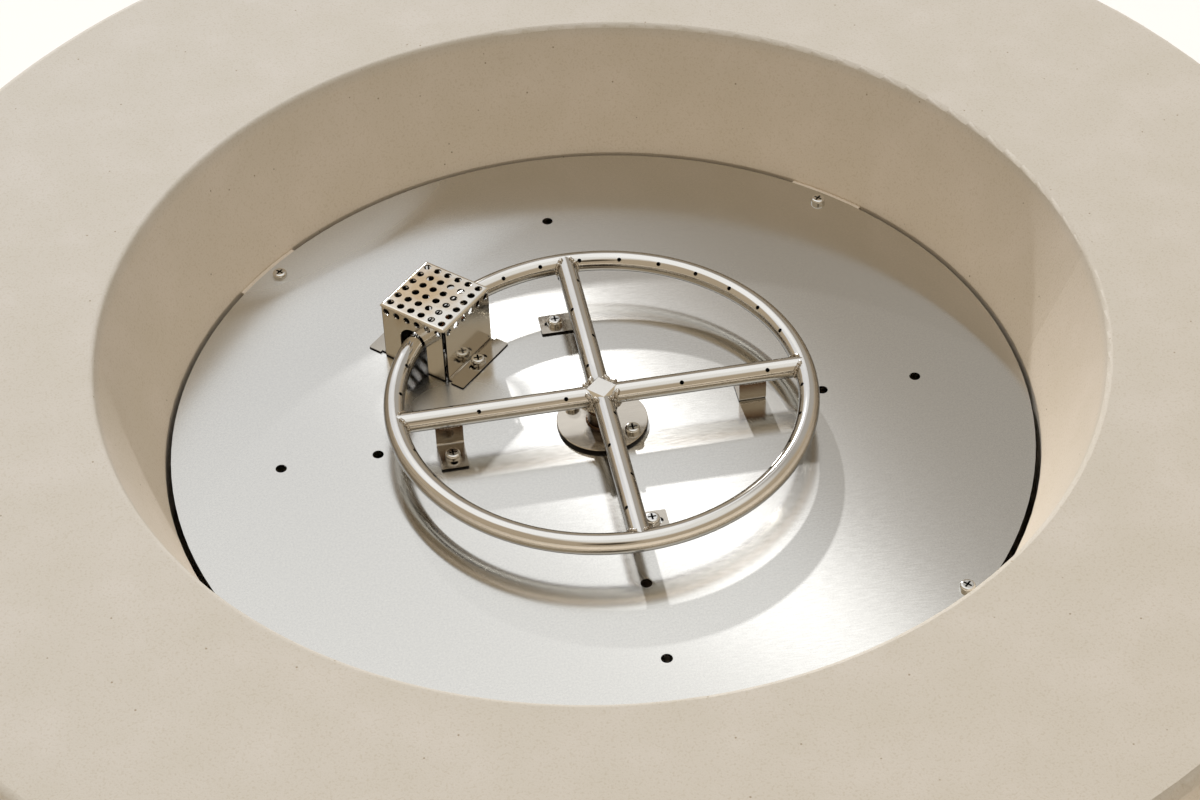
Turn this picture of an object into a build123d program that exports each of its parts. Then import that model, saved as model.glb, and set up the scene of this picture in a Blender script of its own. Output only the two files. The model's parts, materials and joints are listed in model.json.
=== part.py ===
from build123d import *
from math import cos, hypot, radians, sin, sqrt, tan
import os

# Round cast-stone fire bowl with a drop-in gas burner.
# Millimetres, +Z up, origin on the ground under the middle of the bowl.
# +X runs along one burner spoke, and the control plate is on the -Y side.

# Cast bowl
rim_d = 1080.0            # outside of the flat rim
bowl_h = 450.0            # ground to rim
lip_h = 150.0             # straight band under the rim, above the rounded belly
base_d = 660.0            # ring that the bowl stands on
base_hole_d = 300.0       # open middle of the base, where the gas line comes up
wall_t = 20.0             # thickness of the cast wall
rim_round = 7.0           # outer edge of the rim
mouth_round = 4.0         # inner edge of the rim
foot_round = 8.0          # outer edge of the base
mouth_d = 695.5           # recess at the rim
pan_drop = 97.0           # rim down to the top of the pan
pan_gap = 4.2             # open gap round the pan
skirt_drop = 48.0         # recess wall below the pan
vent_d = 50.0             # ventilation holes through the belly
vent_z = 110.0
vent_bearings = (0.0, 90.0, 180.0)
hose_hole_d = 36.0        # under the inlet, where the supply hose leaves

# Burner pan
pan_d = 612.6
pan_t = 1.5
drain_d = 8.0             # drain and vent holes, in two rings on the spoke lines
drain_outer_r = 229.7
drain_inner_r = 161.0
pan_screw_r = 295.7       # fixing screws, half way between the spokes

# Small machine screws and what belongs to them
screw_d = 5.0
head_d = 10.8
head_h = 3.8
cross_ratio = 0.56        # span of the cross recess over the head's width
cross_arm_ratio = 0.13    # width of its arms over the head's width
cross_depth_ratio = 0.55  # depth over the head's height
cross_taper = 14.0        # slope of its walls, degrees
washer_d = 12.0
washer_t = 1.0
nut_af = 8.0
nut_h = 4.0
hole_play = 0.5           # how much wider a screw hole is than its screw
screw_short = 2.0         # end of a screw to the bottom of its hole
screw_proud = 1.0         # end of a screw past its nut
edge_break = 0.4          # small bevels on sheet and plate
turned_break = 1.0        # bevels on turned pieces
sheet_corner = 1.0        # rounded corners of folded sheet

# Cast lugs that carry the pan, one under each fixing screw
lug_w = 60.0
lug_reach = 32.0          # recess wall in to the face of the lug
lug_face_h = 18.0         # height of that face
lug_h = 44.0              # pan underside down to where the lug runs out
lug_round = 4.0
insert_d = 8.0            # threaded inserts set in the casting
insert_l = 16.0

# Burner: ring, four spokes, hub
ring_r = 146.5            # centreline of the ring tube
tube_d = 14.9
tube_t = 1.2
ring_rise = 26.3          # pan top up to the tube centreline
port_d = 3.1
ring_ports = 30
ring_port_start = 2.0     # bearing of the first port, degrees
port_tilt = 47.0          # ports point this far above level, degrees
spoke_port_first = 26.0   # first port from the middle of the hub
spoke_port_pitch = 31.0
spoke_ports = 4
spoke_feed_d = 11.0       # hole from a spoke into the ring
hub_margin = 0.15         # how far each corner of the hub stands beyond the tubes
hub_top_rise = 34.0
hub_bevel = 3.2
hub_foot_rise = 16.0
hub_roof = 2.0            # metal over the hub's chamber
hub_feed_d = 8.6          # hole from the hub into a spoke
weld_gap = 0.05           # between welded pieces

# Inlet pipe and its flange
pipe_d = 21.3
pipe_bore_d = 15.8
pipe_reach = 52.0         # pan top down to the end of the pipe
pipe_play = 0.1           # radial play where something slides over the pipe
flange_d = 65.0
flange_t = 3.0
flange_screw_r = 24.8
flange_screw_bearing = -40.0
lock_nut_af = 32.0
lock_nut_h = 8.0

# Burner feet
foot_w = 19.6
foot_reach = 26.2         # tab face out to the end of the foot
foot_t = 1.6
foot_bend = 1.4           # inner radius of the bend
foot_s = 109.5            # middle of the hub out to the middle of the foot
front_foot_in = 3.4       # the front foot is welded this much nearer the hub
foot_screw_off = 15.0     # tab face out to the screw
foot_slot_len = 13.0
foot_slot_off = 16.5      # tab face out to the middle of the slot

# Pilot box
box_side = 57.2
box_h = 49.4
box_t = 1.2
box_bend = 2.2            # outer radius of the folds
box_slit = 0.9            # slot between two folded sides, beyond the sheet
box_relief_d = 3.0
box_holes = 6             # holes along each side of the top
box_pitch = 9.1
box_hole_d = 5.6
box_side_hole_drop = 5.3  # box top down to the row in each side
sight_d = 3.0             # single small hole in one arched side
sight_x = 11.9
sight_rise = 36.6
arch_w = 23.4
arch_top = 36.5
box_flange = 13.8
box_slot_len = 19.0
box_slot_w = 5.6
pilot_bearing = 134.5     # where the box sits on the ring, degrees
pilot_twist = 1.5         # the slots let it sit a little askew

# Pilot pieces inside the box, in the box's own directions
plate_w = 18.0
plate_l = 46.0
plate_t = 1.5
plate_x = 17.0            # middle of the box towards the hub
plate_screw_y = 19.0
plate_screw_d = 4.0
plate_screw_head_d = 7.0
plate_screw_head_h = 2.4
plate_screw_len = 8.0
pan_slot_w = 10.0
pan_slot_l = 28.0
electrode_y = -7.0
electrode_d = 6.4
electrode_drop = 22.0
electrode_rise = 20.0
collar_d = 9.6
collar_h = 3.0
rod_d = 2.0
rod_rise = 31.0
rod_lean = 6.0
rod_tip_rise = 38.0
rod_socket = 8.0          # length of the rod inside the insulator
rod_bend = 3.0
sensor_y = 8.0
sensor_d = 5.0
sensor_drop = 26.0
sensor_rise = 31.0
sensor_nose = 2.3         # rounding of its tip
sleeve_play = 0.1         # radial play round the electrode and the sensor
electrode_lead_d = 4.0
sensor_lead_d = 2.6
lead_bend = 14.0
lead_leave = 40.0         # straight down from the pilot
lead_arrive = 55.0        # straight into the valve or igniter

# Routes of the flexible pieces: share of the way to the controls, then sideways and up
electrode_route = [(0.19, -33.0, -15.0), (0.50, -42.0, -13.0), (0.80, -20.0, -13.0)]
sensor_route = [(0.16, -10.0, -3.0), (0.44, -30.0, -1.0), (0.69, -19.0, 0.0), (0.88, 5.0, 0.0)]
connector_route = [(0.27, 1.0, -22.0), (0.57, 7.0, -30.0), (0.84, 6.5, -17.5)]

# Air mixer, orifice, elbow
mixer_d = 30.0
mixer_h = 48.0
mixer_socket = 16.0
mixer_bore_d = 16.0
air_hole_d = 9.0
air_hole_drop = 66.0      # pan top down to the air holes
orifice_d = 11.8
orifice_l = 10.0
orifice_bore_d = 1.6
elbow_d = 22.0
elbow_h = 28.0
elbow_round = 4.0
elbow_drop = 17.0         # top of the elbow down to its side outlet
elbow_reach = 30.0        # middle of the elbow out to its flare

# Flexible connector inside the bowl
hose_d = 15.8
hose_bore_d = 11.0
hose_nut_af = 22.0
hose_nut_h = 22.0
hose_nut_off = 3.0        # elbow to its nut
hose_play = 0.15
hose_bend = 60.0
hose_leave = 70.0         # straight out of the elbow
hose_arrive = 45.0        # straight into the valve

# Control plate in its pocket
pocket_depth = 35.0       # outside of the rim in to the flat of the pocket
pocket_w = 190.0
pocket_h = 110.0
pocket_round = 12.0
pocket_drop = 210.0       # rim down to the middle of the pocket
control_w = 170.0
control_h = 90.0
control_t = 2.5
control_round = 6.0
control_screw_x = 77.0
control_screw_z = 37.0
window_w = 128.0          # opening in the wall behind the plate
window_h = 56.0

# Gas valve
valve_x = 40.0
valve_w = 40.0
valve_depth = 50.0
valve_h = 48.0
valve_round = 5.0
valve_screw_z = 18.0
valve_screw_d = 4.0
valve_screw_head_d = 7.0
valve_screw_head_h = 2.0
valve_screw_len = 10.0
rotor_d = 20.0
rotor_l = 26.0
rotor_chamber = 34.0
bonnet_d = 26.0
bonnet_h = 4.5
stem_d = 8.0
stem_flat = 2.8           # stem centreline to its flat
stem_grip = 12.0          # length of the stem inside the rotor
running_play = 0.05       # radial play of everything that turns or slides
end_play = 0.5
knob_travel = 3.0
knob_d = 42.0
knob_h = 24.0
knob_gap = 6.5            # plate to the back of the knob
knob_grip_d = 34.0
knob_skirt_h = 7.0
knob_flutes = 18
knob_flute_d = 3.0
knob_flute_off = 0.4      # middle of a flute beyond the grip
knob_skirt_bevel = 2.0
knob_round = 2.5
pointer_w = 1.6           # groove that shows which way the knob is turned
pointer_l = 13.0
pointer_depth = 0.6
knob_socket = 16.0
outlet_drop = 10.0        # valve axis down to the gas outlet
outlet_l = 12.0
union_rise = 14.0         # valve axis up to the sensor union
union_af = 9.0
union_h = 10.0
inlet_back = 39.0         # pocket flat back to the inlet fitting
inlet_af = 19.0
inlet_hex_h = 8.0
inlet_d = 15.8
inlet_l = 16.0
inlet_bore_d = 9.0

# Push-button igniter
igniter_x = -42.0
igniter_d = 20.0
igniter_l = 60.0
igniter_face_d = 27.0
igniter_face_h = 3.0
igniter_nut_af = 27.0
igniter_nut_h = 6.0
button_d = 16.0
button_l = 14.0           # length of the button inside its sleeve
button_proud = 6.5
button_travel = 4.5
button_round = 1.5
igniter_pocket = 22.0

# Worked out from the values above
rim_r = rim_d / 2
base_r = base_d / 2
lip_z = bowl_h - lip_h
belly_r = ((rim_r - base_r) ** 2 + lip_z ** 2) / (2 * (rim_r - base_r))
pan_top = bowl_h - pan_drop
pan_under = pan_top - pan_t
pan_r = pan_d / 2
recess_r = pan_r + pan_gap
skirt_z = pan_top - skirt_drop
tube_r = tube_d / 2
tube_z = pan_top + ring_rise
hub_corner = tube_d + hub_margin
screw_hole_d = screw_d + hole_play
spokes = {"right": 0.0, "back": 90.0, "left": 180.0, "front": 270.0}
plate_y = pocket_depth - rim_r
pocket_z = bowl_h - pocket_drop
plate_front = plate_y - control_t
mixer_top = pan_top - pipe_reach + mixer_socket
mixer_low = mixer_top - mixer_h
elbow_z = mixer_low - elbow_drop
inlet_y = plate_y + inlet_back
inlet_top_z = pocket_z - valve_h / 2
inlet_end_z = inlet_top_z - inlet_hex_h - inlet_l
HALF_TURN = cos(radians(45))   # how far along each axis a 45 degree point lies
LOW = (Align.CENTER, Align.CENTER, Align.MIN)
HIGH = (Align.CENTER, Align.CENTER, Align.MAX)

os.makedirs("parts", exist_ok=True)


def save(name, shape):
    """Write one sub-part under its node name."""
    export_step(shape, f"parts/{name}.step")
    return shape


def joined(shapes):
    """Several separate solids kept together in one node."""
    return Compound(children=[s for shape in shapes for s in shape.solids()])


def turned(shape, bearing):
    """A copy turned about the bowl's axis."""
    return Rot(0, 0, bearing) * shape


def bar(diameter, length, at, towards):
    """A round bar that starts at a point and runs in a direction."""
    return Plane(origin=at, z_dir=towards) * Cylinder(diameter / 2, length, align=LOW)


def hexagon(across_flats, length, at, towards):
    """A hexagonal bar that starts at a point and runs in a direction."""
    outline = RegularPolygon(across_flats / 2, 6, major_radius=False)
    return Plane(origin=at, z_dir=towards) * extrude(outline, length)


def polar(radius, bearing, z):
    """A point at a distance and bearing from the bowl's axis."""
    return (radius * cos(radians(bearing)), radius * sin(radians(bearing)), z)


def pan_head(diameter, height):
    """A domed screw head with a cross recess, seated on z = 0."""
    head = Cylinder(diameter / 2, height, align=LOW)
    head = fillet(head.edges().group_by(Axis.Z)[-1], height / 2)
    span, arm = diameter * cross_ratio, diameter * cross_arm_ratio
    cross = Rectangle(span, arm) + Rectangle(arm, span)
    return head - Pos(0, 0, height) * extrude(cross, -height * cross_depth_ratio, taper=cross_taper)


def screw(diameter, length, head, height):
    """A pan-head screw whose head sits on z = 0 and whose shank hangs down."""
    return pan_head(head, height) + Cylinder(diameter / 2, length, align=HIGH)


def nut(across_flats, length, bore):
    """A hexagonal nut that hangs down from z = 0."""
    outline = RegularPolygon(across_flats / 2, 6, major_radius=False) - Circle(bore / 2)
    return extrude(outline, -length)


def washer(outside, inside, thickness):
    """A plain washer that sits on z = 0."""
    return extrude(Circle(outside / 2) - Circle(inside / 2), thickness)


def flexible(points, bend, diameter, bore=0.0):
    """A bent tube or lead along straight runs and tangent arcs."""
    path = FilletPolyline(*points, radius=bend)
    start = Plane(origin=path @ 0, z_dir=path % 0)
    section = start * Circle(diameter / 2)
    if bore:
        section = section - start * Circle(bore / 2)
    return sweep(section, path)


def between(start, end, route):
    """Points part of the way from start to end, each moved sideways and up."""
    points = []
    for share, aside, rise in route:
        x, y, z = (a + share * (b - a) for a, b in zip(start, end))
        points.append((x + aside, y, z + rise))
    return points


# The cast bowl

def belly_arc(offset, low_end, high_end):
    """Arc of the rounded belly, a distance inside its outer face."""
    radius = belly_r - offset
    middle = (rim_r - belly_r + radius * HALF_TURN, lip_z - radius * HALF_TURN)
    return ThreePointArc(low_end, middle, high_end)


def wall_profile():
    """Half section of the hollow bowl, as radius and height."""
    inner_lip = (rim_r - wall_t, lip_z)
    floor_r = rim_r - belly_r + sqrt((belly_r - wall_t) ** 2 - (lip_z - wall_t) ** 2)
    slope = (mouth_d / 2 - recess_r) / pan_drop
    corners = [
        (base_hole_d / 2, 0),
        (base_r, 0),
        (rim_r, lip_z),
        (rim_r, bowl_h),
        (mouth_d / 2, bowl_h),
        (recess_r, pan_top),
        (recess_r, skirt_z),
        (recess_r + wall_t, skirt_z),
        (recess_r + wall_t, pan_top),
        (mouth_d / 2 + wall_t * (1 - slope), bowl_h - wall_t),
        (rim_r - wall_t, bowl_h - wall_t),
        inner_lip,
        (floor_r, wall_t),
        (base_hole_d / 2, wall_t),
    ]
    edges = [Line(a, b) for a, b in zip(corners, corners[1:] + corners[:1])]
    edges[1] = belly_arc(0, corners[1], corners[2])
    edges[11] = belly_arc(wall_t, inner_lip, (floor_r, wall_t))
    face = make_face(edges)
    for r, z, size in ((rim_r, bowl_h, rim_round), (mouth_d / 2, bowl_h, mouth_round), (base_r, 0, foot_round)):
        corner = face.vertices().sort_by_distance((r, z, 0))[0]
        face = fillet(corner, size)
    return face


def outer_form():
    """The bowl's outside as one solid form."""
    edges = [
        Line((0, 0), (base_r, 0)),
        belly_arc(0, (base_r, 0), (rim_r, lip_z)),
        Line((rim_r, lip_z), (rim_r, bowl_h)),
        Line((rim_r, bowl_h), (0, bowl_h)),
        Line((0, bowl_h), (0, 0)),
    ]
    return revolve(Plane.XZ * make_face(edges), Axis.Z)


def pan_lug():
    """Cast lug under the edge of the pan, at bearing 0."""
    root = recess_r + wall_t / 2
    face_x = recess_r - lug_reach
    side = Polygon(
        (root, pan_under), (face_x, pan_under), (face_x, pan_under - lug_face_h), (root, pan_under - lug_h),
        align=None,
    )
    lug = extrude(Plane.XZ * side, lug_w / 2, both=True)
    ends = lug.edges().filter_by(Axis.Z).group_by(Axis.X)[0]
    lug = fillet(ends, lug_round)
    return lug - Pos(pan_screw_r, 0, pan_under) * Cylinder(insert_d / 2, insert_l, align=HIGH)


def bowl_shell():
    """Cast bowl with its pan lugs, control pocket and vents."""
    shell = revolve(Plane.XZ * wall_profile(), Axis.Z)
    for bearing in pan_screw_bearings():
        shell += turned(pan_lug(), bearing)
    boss = Box(pocket_w + 2 * wall_t, 2 * wall_t, pocket_h + 2 * wall_t)
    shell += Pos(0, plate_y, pocket_z) * boss & outer_form()
    shell -= pocket_front(0) * extrude(RectangleRounded(pocket_w, pocket_h, pocket_round), rim_r)
    shell -= Pos(0, plate_y, pocket_z) * Box(window_w, 4 * wall_t, window_h)
    for x, z in control_corners():
        shell -= bar(insert_d, insert_l, (x, plate_y, z), (0, 1, 0))
    for bearing in vent_bearings:
        shell -= turned(bar(vent_d, rim_r, (base_r, 0, vent_z), (1, 0, 0)), bearing)
    shell -= Pos(valve_x, inlet_y, 0) * Cylinder(hose_hole_d / 2, inlet_end_z, align=LOW)
    return shell


def pocket_front(depth):
    """Plane facing out of the pocket, a distance in front of its flat."""
    return Plane(origin=(0, plate_y - depth, pocket_z), x_dir=(1, 0, 0), z_dir=(0, -1, 0))


def control_corners():
    """Where the four screws of the control plate stand, as x and z."""
    return [(i * control_screw_x, pocket_z + j * control_screw_z) for i in (-1, 1) for j in (-1, 1)]


def pan_screw_bearings():
    """The pan is screwed down half way between the spokes."""
    return [bearing + 45 for bearing in spokes.values()]


# The pan and what carries it

def burner_pan():
    """Flat round pan with its drain, fixing and pilot openings."""
    pan = Pos(0, 0, pan_under) * Cylinder(pan_r, pan_t, align=LOW)
    cuts = [Pos(0, 0, pan_under) * Cylinder(pipe_d / 2 + 4 * pipe_play, 2 * pan_t)]
    for bearing in spokes.values():
        for radius in (drain_inner_r, drain_outer_r):
            cuts.append(pan_hole(drain_d, *polar(radius, bearing, pan_top)[:2]))
    for bearing in pan_screw_bearings():
        cuts.append(pan_hole(screw_hole_d, *polar(pan_screw_r, bearing, pan_top)[:2]))
    for spot in foot_screw_spots() + flange_screw_spots() + box_screw_spots():
        cuts.append(pan_hole(screw_hole_d, spot[0], spot[1]))
    for y in (-plate_screw_y, plate_screw_y):
        cuts.append(in_box(plate_x, y, -pan_t) * Cylinder(plate_screw_d / 2 + running_play, 3 * pan_t))
    cuts.append(in_box(plate_x, 0, -pan_t) * Box(pan_slot_w, pan_slot_l, 3 * pan_t))
    return pan - cuts


def pan_hole(diameter, x, y):
    return Pos(x, y, pan_under) * Cylinder(diameter / 2, 3 * pan_t)


def pan_screws():
    """Screws through the edge of the pan into the lugs."""
    one = Pos(pan_screw_r, 0, pan_top) * screw(screw_d, pan_t + insert_l - screw_short, head_d, head_h)
    return joined([turned(one, bearing) for bearing in pan_screw_bearings()])


def threaded_insert():
    """Brass insert whose mouth is at z = 0."""
    ring = Circle(insert_d / 2 - weld_gap) - Circle(screw_d / 2 + weld_gap)
    return extrude(ring, -(insert_l - weld_gap))


def pan_inserts():
    """Inserts cast into the lugs."""
    one = Pos(pan_screw_r, 0, pan_under) * threaded_insert()
    return joined([turned(one, bearing) for bearing in pan_screw_bearings()])


# The burner

def burner_ring():
    """Round tube bent into a ring, with ports facing in and up."""
    ring = Torus(ring_r, tube_r) - Torus(ring_r, tube_r - tube_t)
    cuts = []
    for k in range(ring_ports):
        bearing = ring_port_start + k * 360 / ring_ports
        lean = Vector(*polar(-cos(radians(port_tilt)), bearing, sin(radians(port_tilt))))
        cuts.append(bar(port_d, tube_d, polar(ring_r, bearing, 0), lean))
    for bearing in spokes.values():
        cuts.append(bar(spoke_feed_d, tube_d, polar(ring_r, bearing, 0), polar(-1, bearing, 0)))
    return Pos(0, 0, tube_z) * (ring - cuts)


def hub_block(grow=0.0):
    """Square block with its corners on the spokes and bevelled top edges."""
    corner = hub_corner + grow
    outline = Polygon((corner, 0), (0, corner), (-corner, 0), (0, -corner))
    block = Pos(0, 0, pan_top + hub_foot_rise - grow) * extrude(outline, hub_top_rise - hub_foot_rise + 2 * grow)
    return chamfer(block.edges().group_by(Axis.Z)[-1], hub_bevel)


def burner_hub():
    """The block that the spokes run into, hollow for the gas."""
    hub = hub_block()
    ceiling = hub_top_rise - hub_foot_rise - hub_roof
    hub -= Pos(0, 0, pan_top + hub_foot_rise) * Cylinder(pipe_bore_d / 2, ceiling, align=LOW)
    for bearing in spokes.values():
        hub -= bar(hub_feed_d, 2 * hub_corner, (0, 0, tube_z), polar(1, bearing, 0))
    return hub


def spoke(bearing):
    """Straight tube from the hub to the ring, with ports on both shoulders."""
    tube = bar(tube_d, ring_r, (0, 0, tube_z), (1, 0, 0))
    tube -= bar(tube_d - 2 * tube_t, ring_r, (0, 0, tube_z), (1, 0, 0))
    tube -= Pos(0, 0, tube_z) * Torus(ring_r, tube_r + weld_gap)
    tube -= hub_block(weld_gap * 1.5)
    cuts = []
    for k in range(spoke_ports):
        side = 1 if k % 2 == 0 else -1
        lean = (0, side * cos(radians(port_tilt)), sin(radians(port_tilt)))
        cuts.append(bar(port_d, tube_d, (spoke_port_first + k * spoke_port_pitch, 0, tube_z), lean))
    longest = (tube - cuts).solids().sort_by(SortBy.VOLUME)[-1]
    return turned(longest, bearing)


def inlet_pipe():
    top = pan_top + hub_foot_rise - weld_gap
    ring = Circle(pipe_d / 2) - Circle(pipe_bore_d / 2)
    return Pos(0, 0, top) * extrude(ring, -(hub_foot_rise - weld_gap + pipe_reach))


def burner_flange():
    """Round flange that holds the inlet pipe to the pan."""
    disc = Pos(0, 0, pan_top) * Cylinder(flange_d / 2, flange_t, align=LOW)
    disc = chamfer(disc.edges().group_by(Axis.Z)[-1], edge_break)
    disc -= Pos(0, 0, pan_top) * Cylinder(pipe_d / 2 + pipe_play, 3 * flange_t)
    for x, y in flange_screw_spots():
        disc -= Pos(x, y, pan_top) * Cylinder(screw_hole_d / 2, 3 * flange_t)
    return disc


def flange_screw_spots():
    return [polar(flange_screw_r, flange_screw_bearing + turn, 0)[:2] for turn in (0, 180)]


def foot_place(side):
    """How far out on its spoke a foot is welded."""
    return foot_s - front_foot_in if side == "front" else foot_s


def burner_foot(side):
    """Folded sheet foot: a tab under the spoke and a slotted sole on the pan."""
    middle = foot_place(side)
    tab_top = ring_rise - sqrt(tube_r ** 2 - (foot_t / 2) ** 2) - weld_gap
    outer = foot_bend + foot_t
    edges = [
        Line((-foot_t / 2, tab_top), (-foot_t / 2, outer)),
        RadiusArc((-foot_t / 2, outer), (outer - foot_t / 2, 0), -outer),
        Line((outer - foot_t / 2, 0), (foot_reach, 0)),
        Line((foot_reach, 0), (foot_reach, foot_t)),
        Line((foot_reach, foot_t), (outer - foot_t / 2, foot_t)),
        RadiusArc((outer - foot_t / 2, foot_t), (foot_t / 2, outer), foot_bend),
        Line((foot_t / 2, outer), (foot_t / 2, tab_top)),
        Line((foot_t / 2, tab_top), (-foot_t / 2, tab_top)),
    ]
    profile = Plane(origin=(middle - foot_w / 2, 0, pan_top), x_dir=(0, 1, 0), z_dir=(1, 0, 0))
    foot = extrude(profile * make_face(edges), foot_w)
    slot = SlotOverall(foot_slot_len, screw_hole_d, rotation=90)
    foot -= Pos(middle, foot_slot_off, pan_top) * extrude(slot, 2 * foot_t, both=True)
    corners = foot.edges().filter_by(Axis.Z).group_by(Axis.Y)[-1]
    return turned(fillet(corners, sheet_corner), spokes[side])


def foot_screw_spots():
    """Where the four foot screws stand."""
    spots = []
    for side, bearing in spokes.items():
        c, s, out = cos(radians(bearing)), sin(radians(bearing)), foot_place(side)
        spots.append((out * c - foot_screw_off * s, out * s + foot_screw_off * c))
    return spots


# The pilot box and what it shelters

def in_box(x, y, rise):
    """Place in the pilot box's own directions: +X to the hub, rise above the pan."""
    middle = polar(ring_r, pilot_bearing, pan_top)
    return Pos(*middle) * Rot(0, 0, pilot_bearing + 180 + pilot_twist) * Pos(x, y, rise)


def box_spot(x, y, rise):
    """The same place as a point."""
    return tuple((in_box(x, y, rise) * Vertex(0, 0, 0)).center())


def box_screw_spots():
    off = box_side / 2 + box_flange / 2
    return [box_spot(i * off, 0, 0)[:2] for i in (-1, 1)]


def pilot_box():
    """One perforated sheet folded down on four sides, over the ring."""
    skin = Box(box_side, box_side, box_h, align=LOW)
    skin = fillet(skin.edges().group_by(Axis.Z)[-1], box_bend)
    room = Box(box_side - 2 * box_t, box_side - 2 * box_t, box_h - box_t, align=LOW)
    room = fillet(room.edges().group_by(Axis.Z)[-1], box_bend - box_t)
    half = box_side / 2
    sole = Box(box_side + 2 * box_flange, box_side, box_t, align=LOW)
    sole = fillet(sole.edges().filter_by(Axis.Z), sheet_corner)
    body = (skin + sole) - room
    return in_box(0, 0, 0) * (body - box_cuts(half))


def box_cuts(half):
    """Perforations, arches, corner slits and slots of the pilot box."""
    cuts = []
    start = -(box_holes - 1) / 2 * box_pitch
    row = [start + k * box_pitch for k in range(box_holes)]
    row_z = box_h - box_side_hole_drop
    for x in row:
        cuts.append(bar(box_hole_d, 2 * box_side, (x, -box_side, row_z), (0, 1, 0)))
        cuts.append(bar(box_hole_d, 2 * box_side, (-box_side, x, row_z), (1, 0, 0)))
        for y in row:
            cuts.append(Pos(x, y, box_h) * Cylinder(box_hole_d / 2, 4 * box_t))
    arch_z = arch_top - arch_w / 2
    cuts.append(bar(arch_w, 2 * box_side, (0, -box_side, arch_z), (0, 1, 0)))
    cuts.append(Box(arch_w, 2 * box_side, arch_z, align=LOW))
    cuts.append(bar(sight_d, half, (sight_x, -box_side, sight_rise), (0, 1, 0)))
    slit = box_t + box_slit
    slit_top = box_h - box_bend - box_slit
    for i in (-1, 1):
        for j in (-1, 1):
            corner = Pos(i * (half - slit / 2), j * (half - slit / 2), 0)
            cuts.append(corner * Box(slit, slit, slit_top, align=LOW))
            cuts.append(corner * Pos(i * slit, 0, 0) * Box(2 * slit, slit, box_t * 2))
            inside = (i * (half - 2 * slit), j * (half - 2 * slit), slit_top)
            cuts.append(bar(box_relief_d, 4 * slit, inside, (i, j, 0)))
    for i in (-1, 1):
        slot = SlotOverall(box_slot_len, box_slot_w, rotation=90)
        cuts.append(Pos(i * (half + box_flange / 2), 0, 0) * extrude(slot, 2 * box_t, both=True))
    return cuts


def pilot_plate():
    """Small plate over the pan's opening, which holds electrode and sensor."""
    plate = in_box(plate_x, 0, 0) * Box(plate_w, plate_l, plate_t, align=LOW)
    holes = ((0, electrode_y, electrode_d + 2 * sleeve_play), (0, sensor_y, sensor_d + 2 * sleeve_play))
    for x, y, diameter in holes:
        plate -= in_box(plate_x + x, y, 0) * Cylinder(diameter / 2, 4 * plate_t)
    for y in (-plate_screw_y, plate_screw_y):
        plate -= in_box(plate_x, y, 0) * Cylinder(plate_screw_d / 2 + running_play, 4 * plate_t)
    return plate


def pilot_plate_screws():
    one = screw(plate_screw_d, plate_screw_len, plate_screw_head_d, plate_screw_head_h)
    return joined([in_box(plate_x, y, plate_t) * one for y in (-plate_screw_y, plate_screw_y)])


def spark_electrode():
    """Glazed insulator with a collar that rests on the pilot plate."""
    body = Cylinder(electrode_d / 2, electrode_drop + electrode_rise, align=LOW)
    tip = body.edges().group_by(Axis.Z)[-1]
    body = chamfer(tip, turned_break)
    body -= Pos(0, 0, electrode_drop + electrode_rise) * Cylinder(rod_d / 2 + weld_gap, rod_socket, align=HIGH)
    body = Pos(0, 0, -electrode_drop) * body
    body += Pos(0, 0, plate_t) * Cylinder(collar_d / 2, collar_h, align=LOW)
    return in_box(plate_x, electrode_y, 0) * body


def spark_rod():
    """Wire that leans from the insulator to a port of the ring."""
    foot = electrode_rise - rod_socket + weld_gap
    points = [(0, 0, foot), (0, 0, rod_rise), (-rod_lean, 0, rod_tip_rise)]
    path = FilletPolyline(*points, radius=rod_bend)
    rod = sweep(Plane(origin=path @ 0, z_dir=path % 0) * Circle(rod_d / 2), path)
    return in_box(plate_x, electrode_y, 0) * rod


def flame_sensor():
    """Round-nosed sheath with a collar that rests on the pilot plate."""
    body = Pos(0, 0, -sensor_drop) * Cylinder(sensor_d / 2, sensor_drop + sensor_rise, align=LOW)
    body = fillet(body.edges().group_by(Axis.Z)[-1], sensor_nose)
    body += Pos(0, 0, plate_t) * Cylinder(collar_d / 2, collar_h, align=LOW)
    return in_box(plate_x, sensor_y, 0) * body


def electrode_lead():
    """Lead from the electrode to the back of the igniter."""
    start = box_spot(plate_x, electrode_y, -electrode_drop)
    end = (igniter_x, plate_y + igniter_l, pocket_z)
    return flexible(lead_points(start, end, electrode_route), lead_bend, electrode_lead_d)


def sensor_lead():
    """Lead from the flame sensor to its union on the valve."""
    start = box_spot(plate_x, sensor_y, -sensor_drop)
    end = (valve_x, plate_y + valve_depth + union_h, pocket_z + union_rise)
    return flexible(lead_points(start, end, sensor_route), lead_bend, sensor_lead_d)


def lead_points(start, end, route):
    """Down from the pilot, along a route and straight into the controls."""
    below = (start[0], start[1], start[2] - lead_leave)
    before = (end[0], end[1] + lead_arrive, end[2])
    return [start, below] + between(below, before, route) + [before, end]


# Gas path under the pan

def pipe_lock_nut():
    return Pos(0, 0, pan_under) * nut(lock_nut_af, lock_nut_h, pipe_d + 2 * pipe_play)


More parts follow.
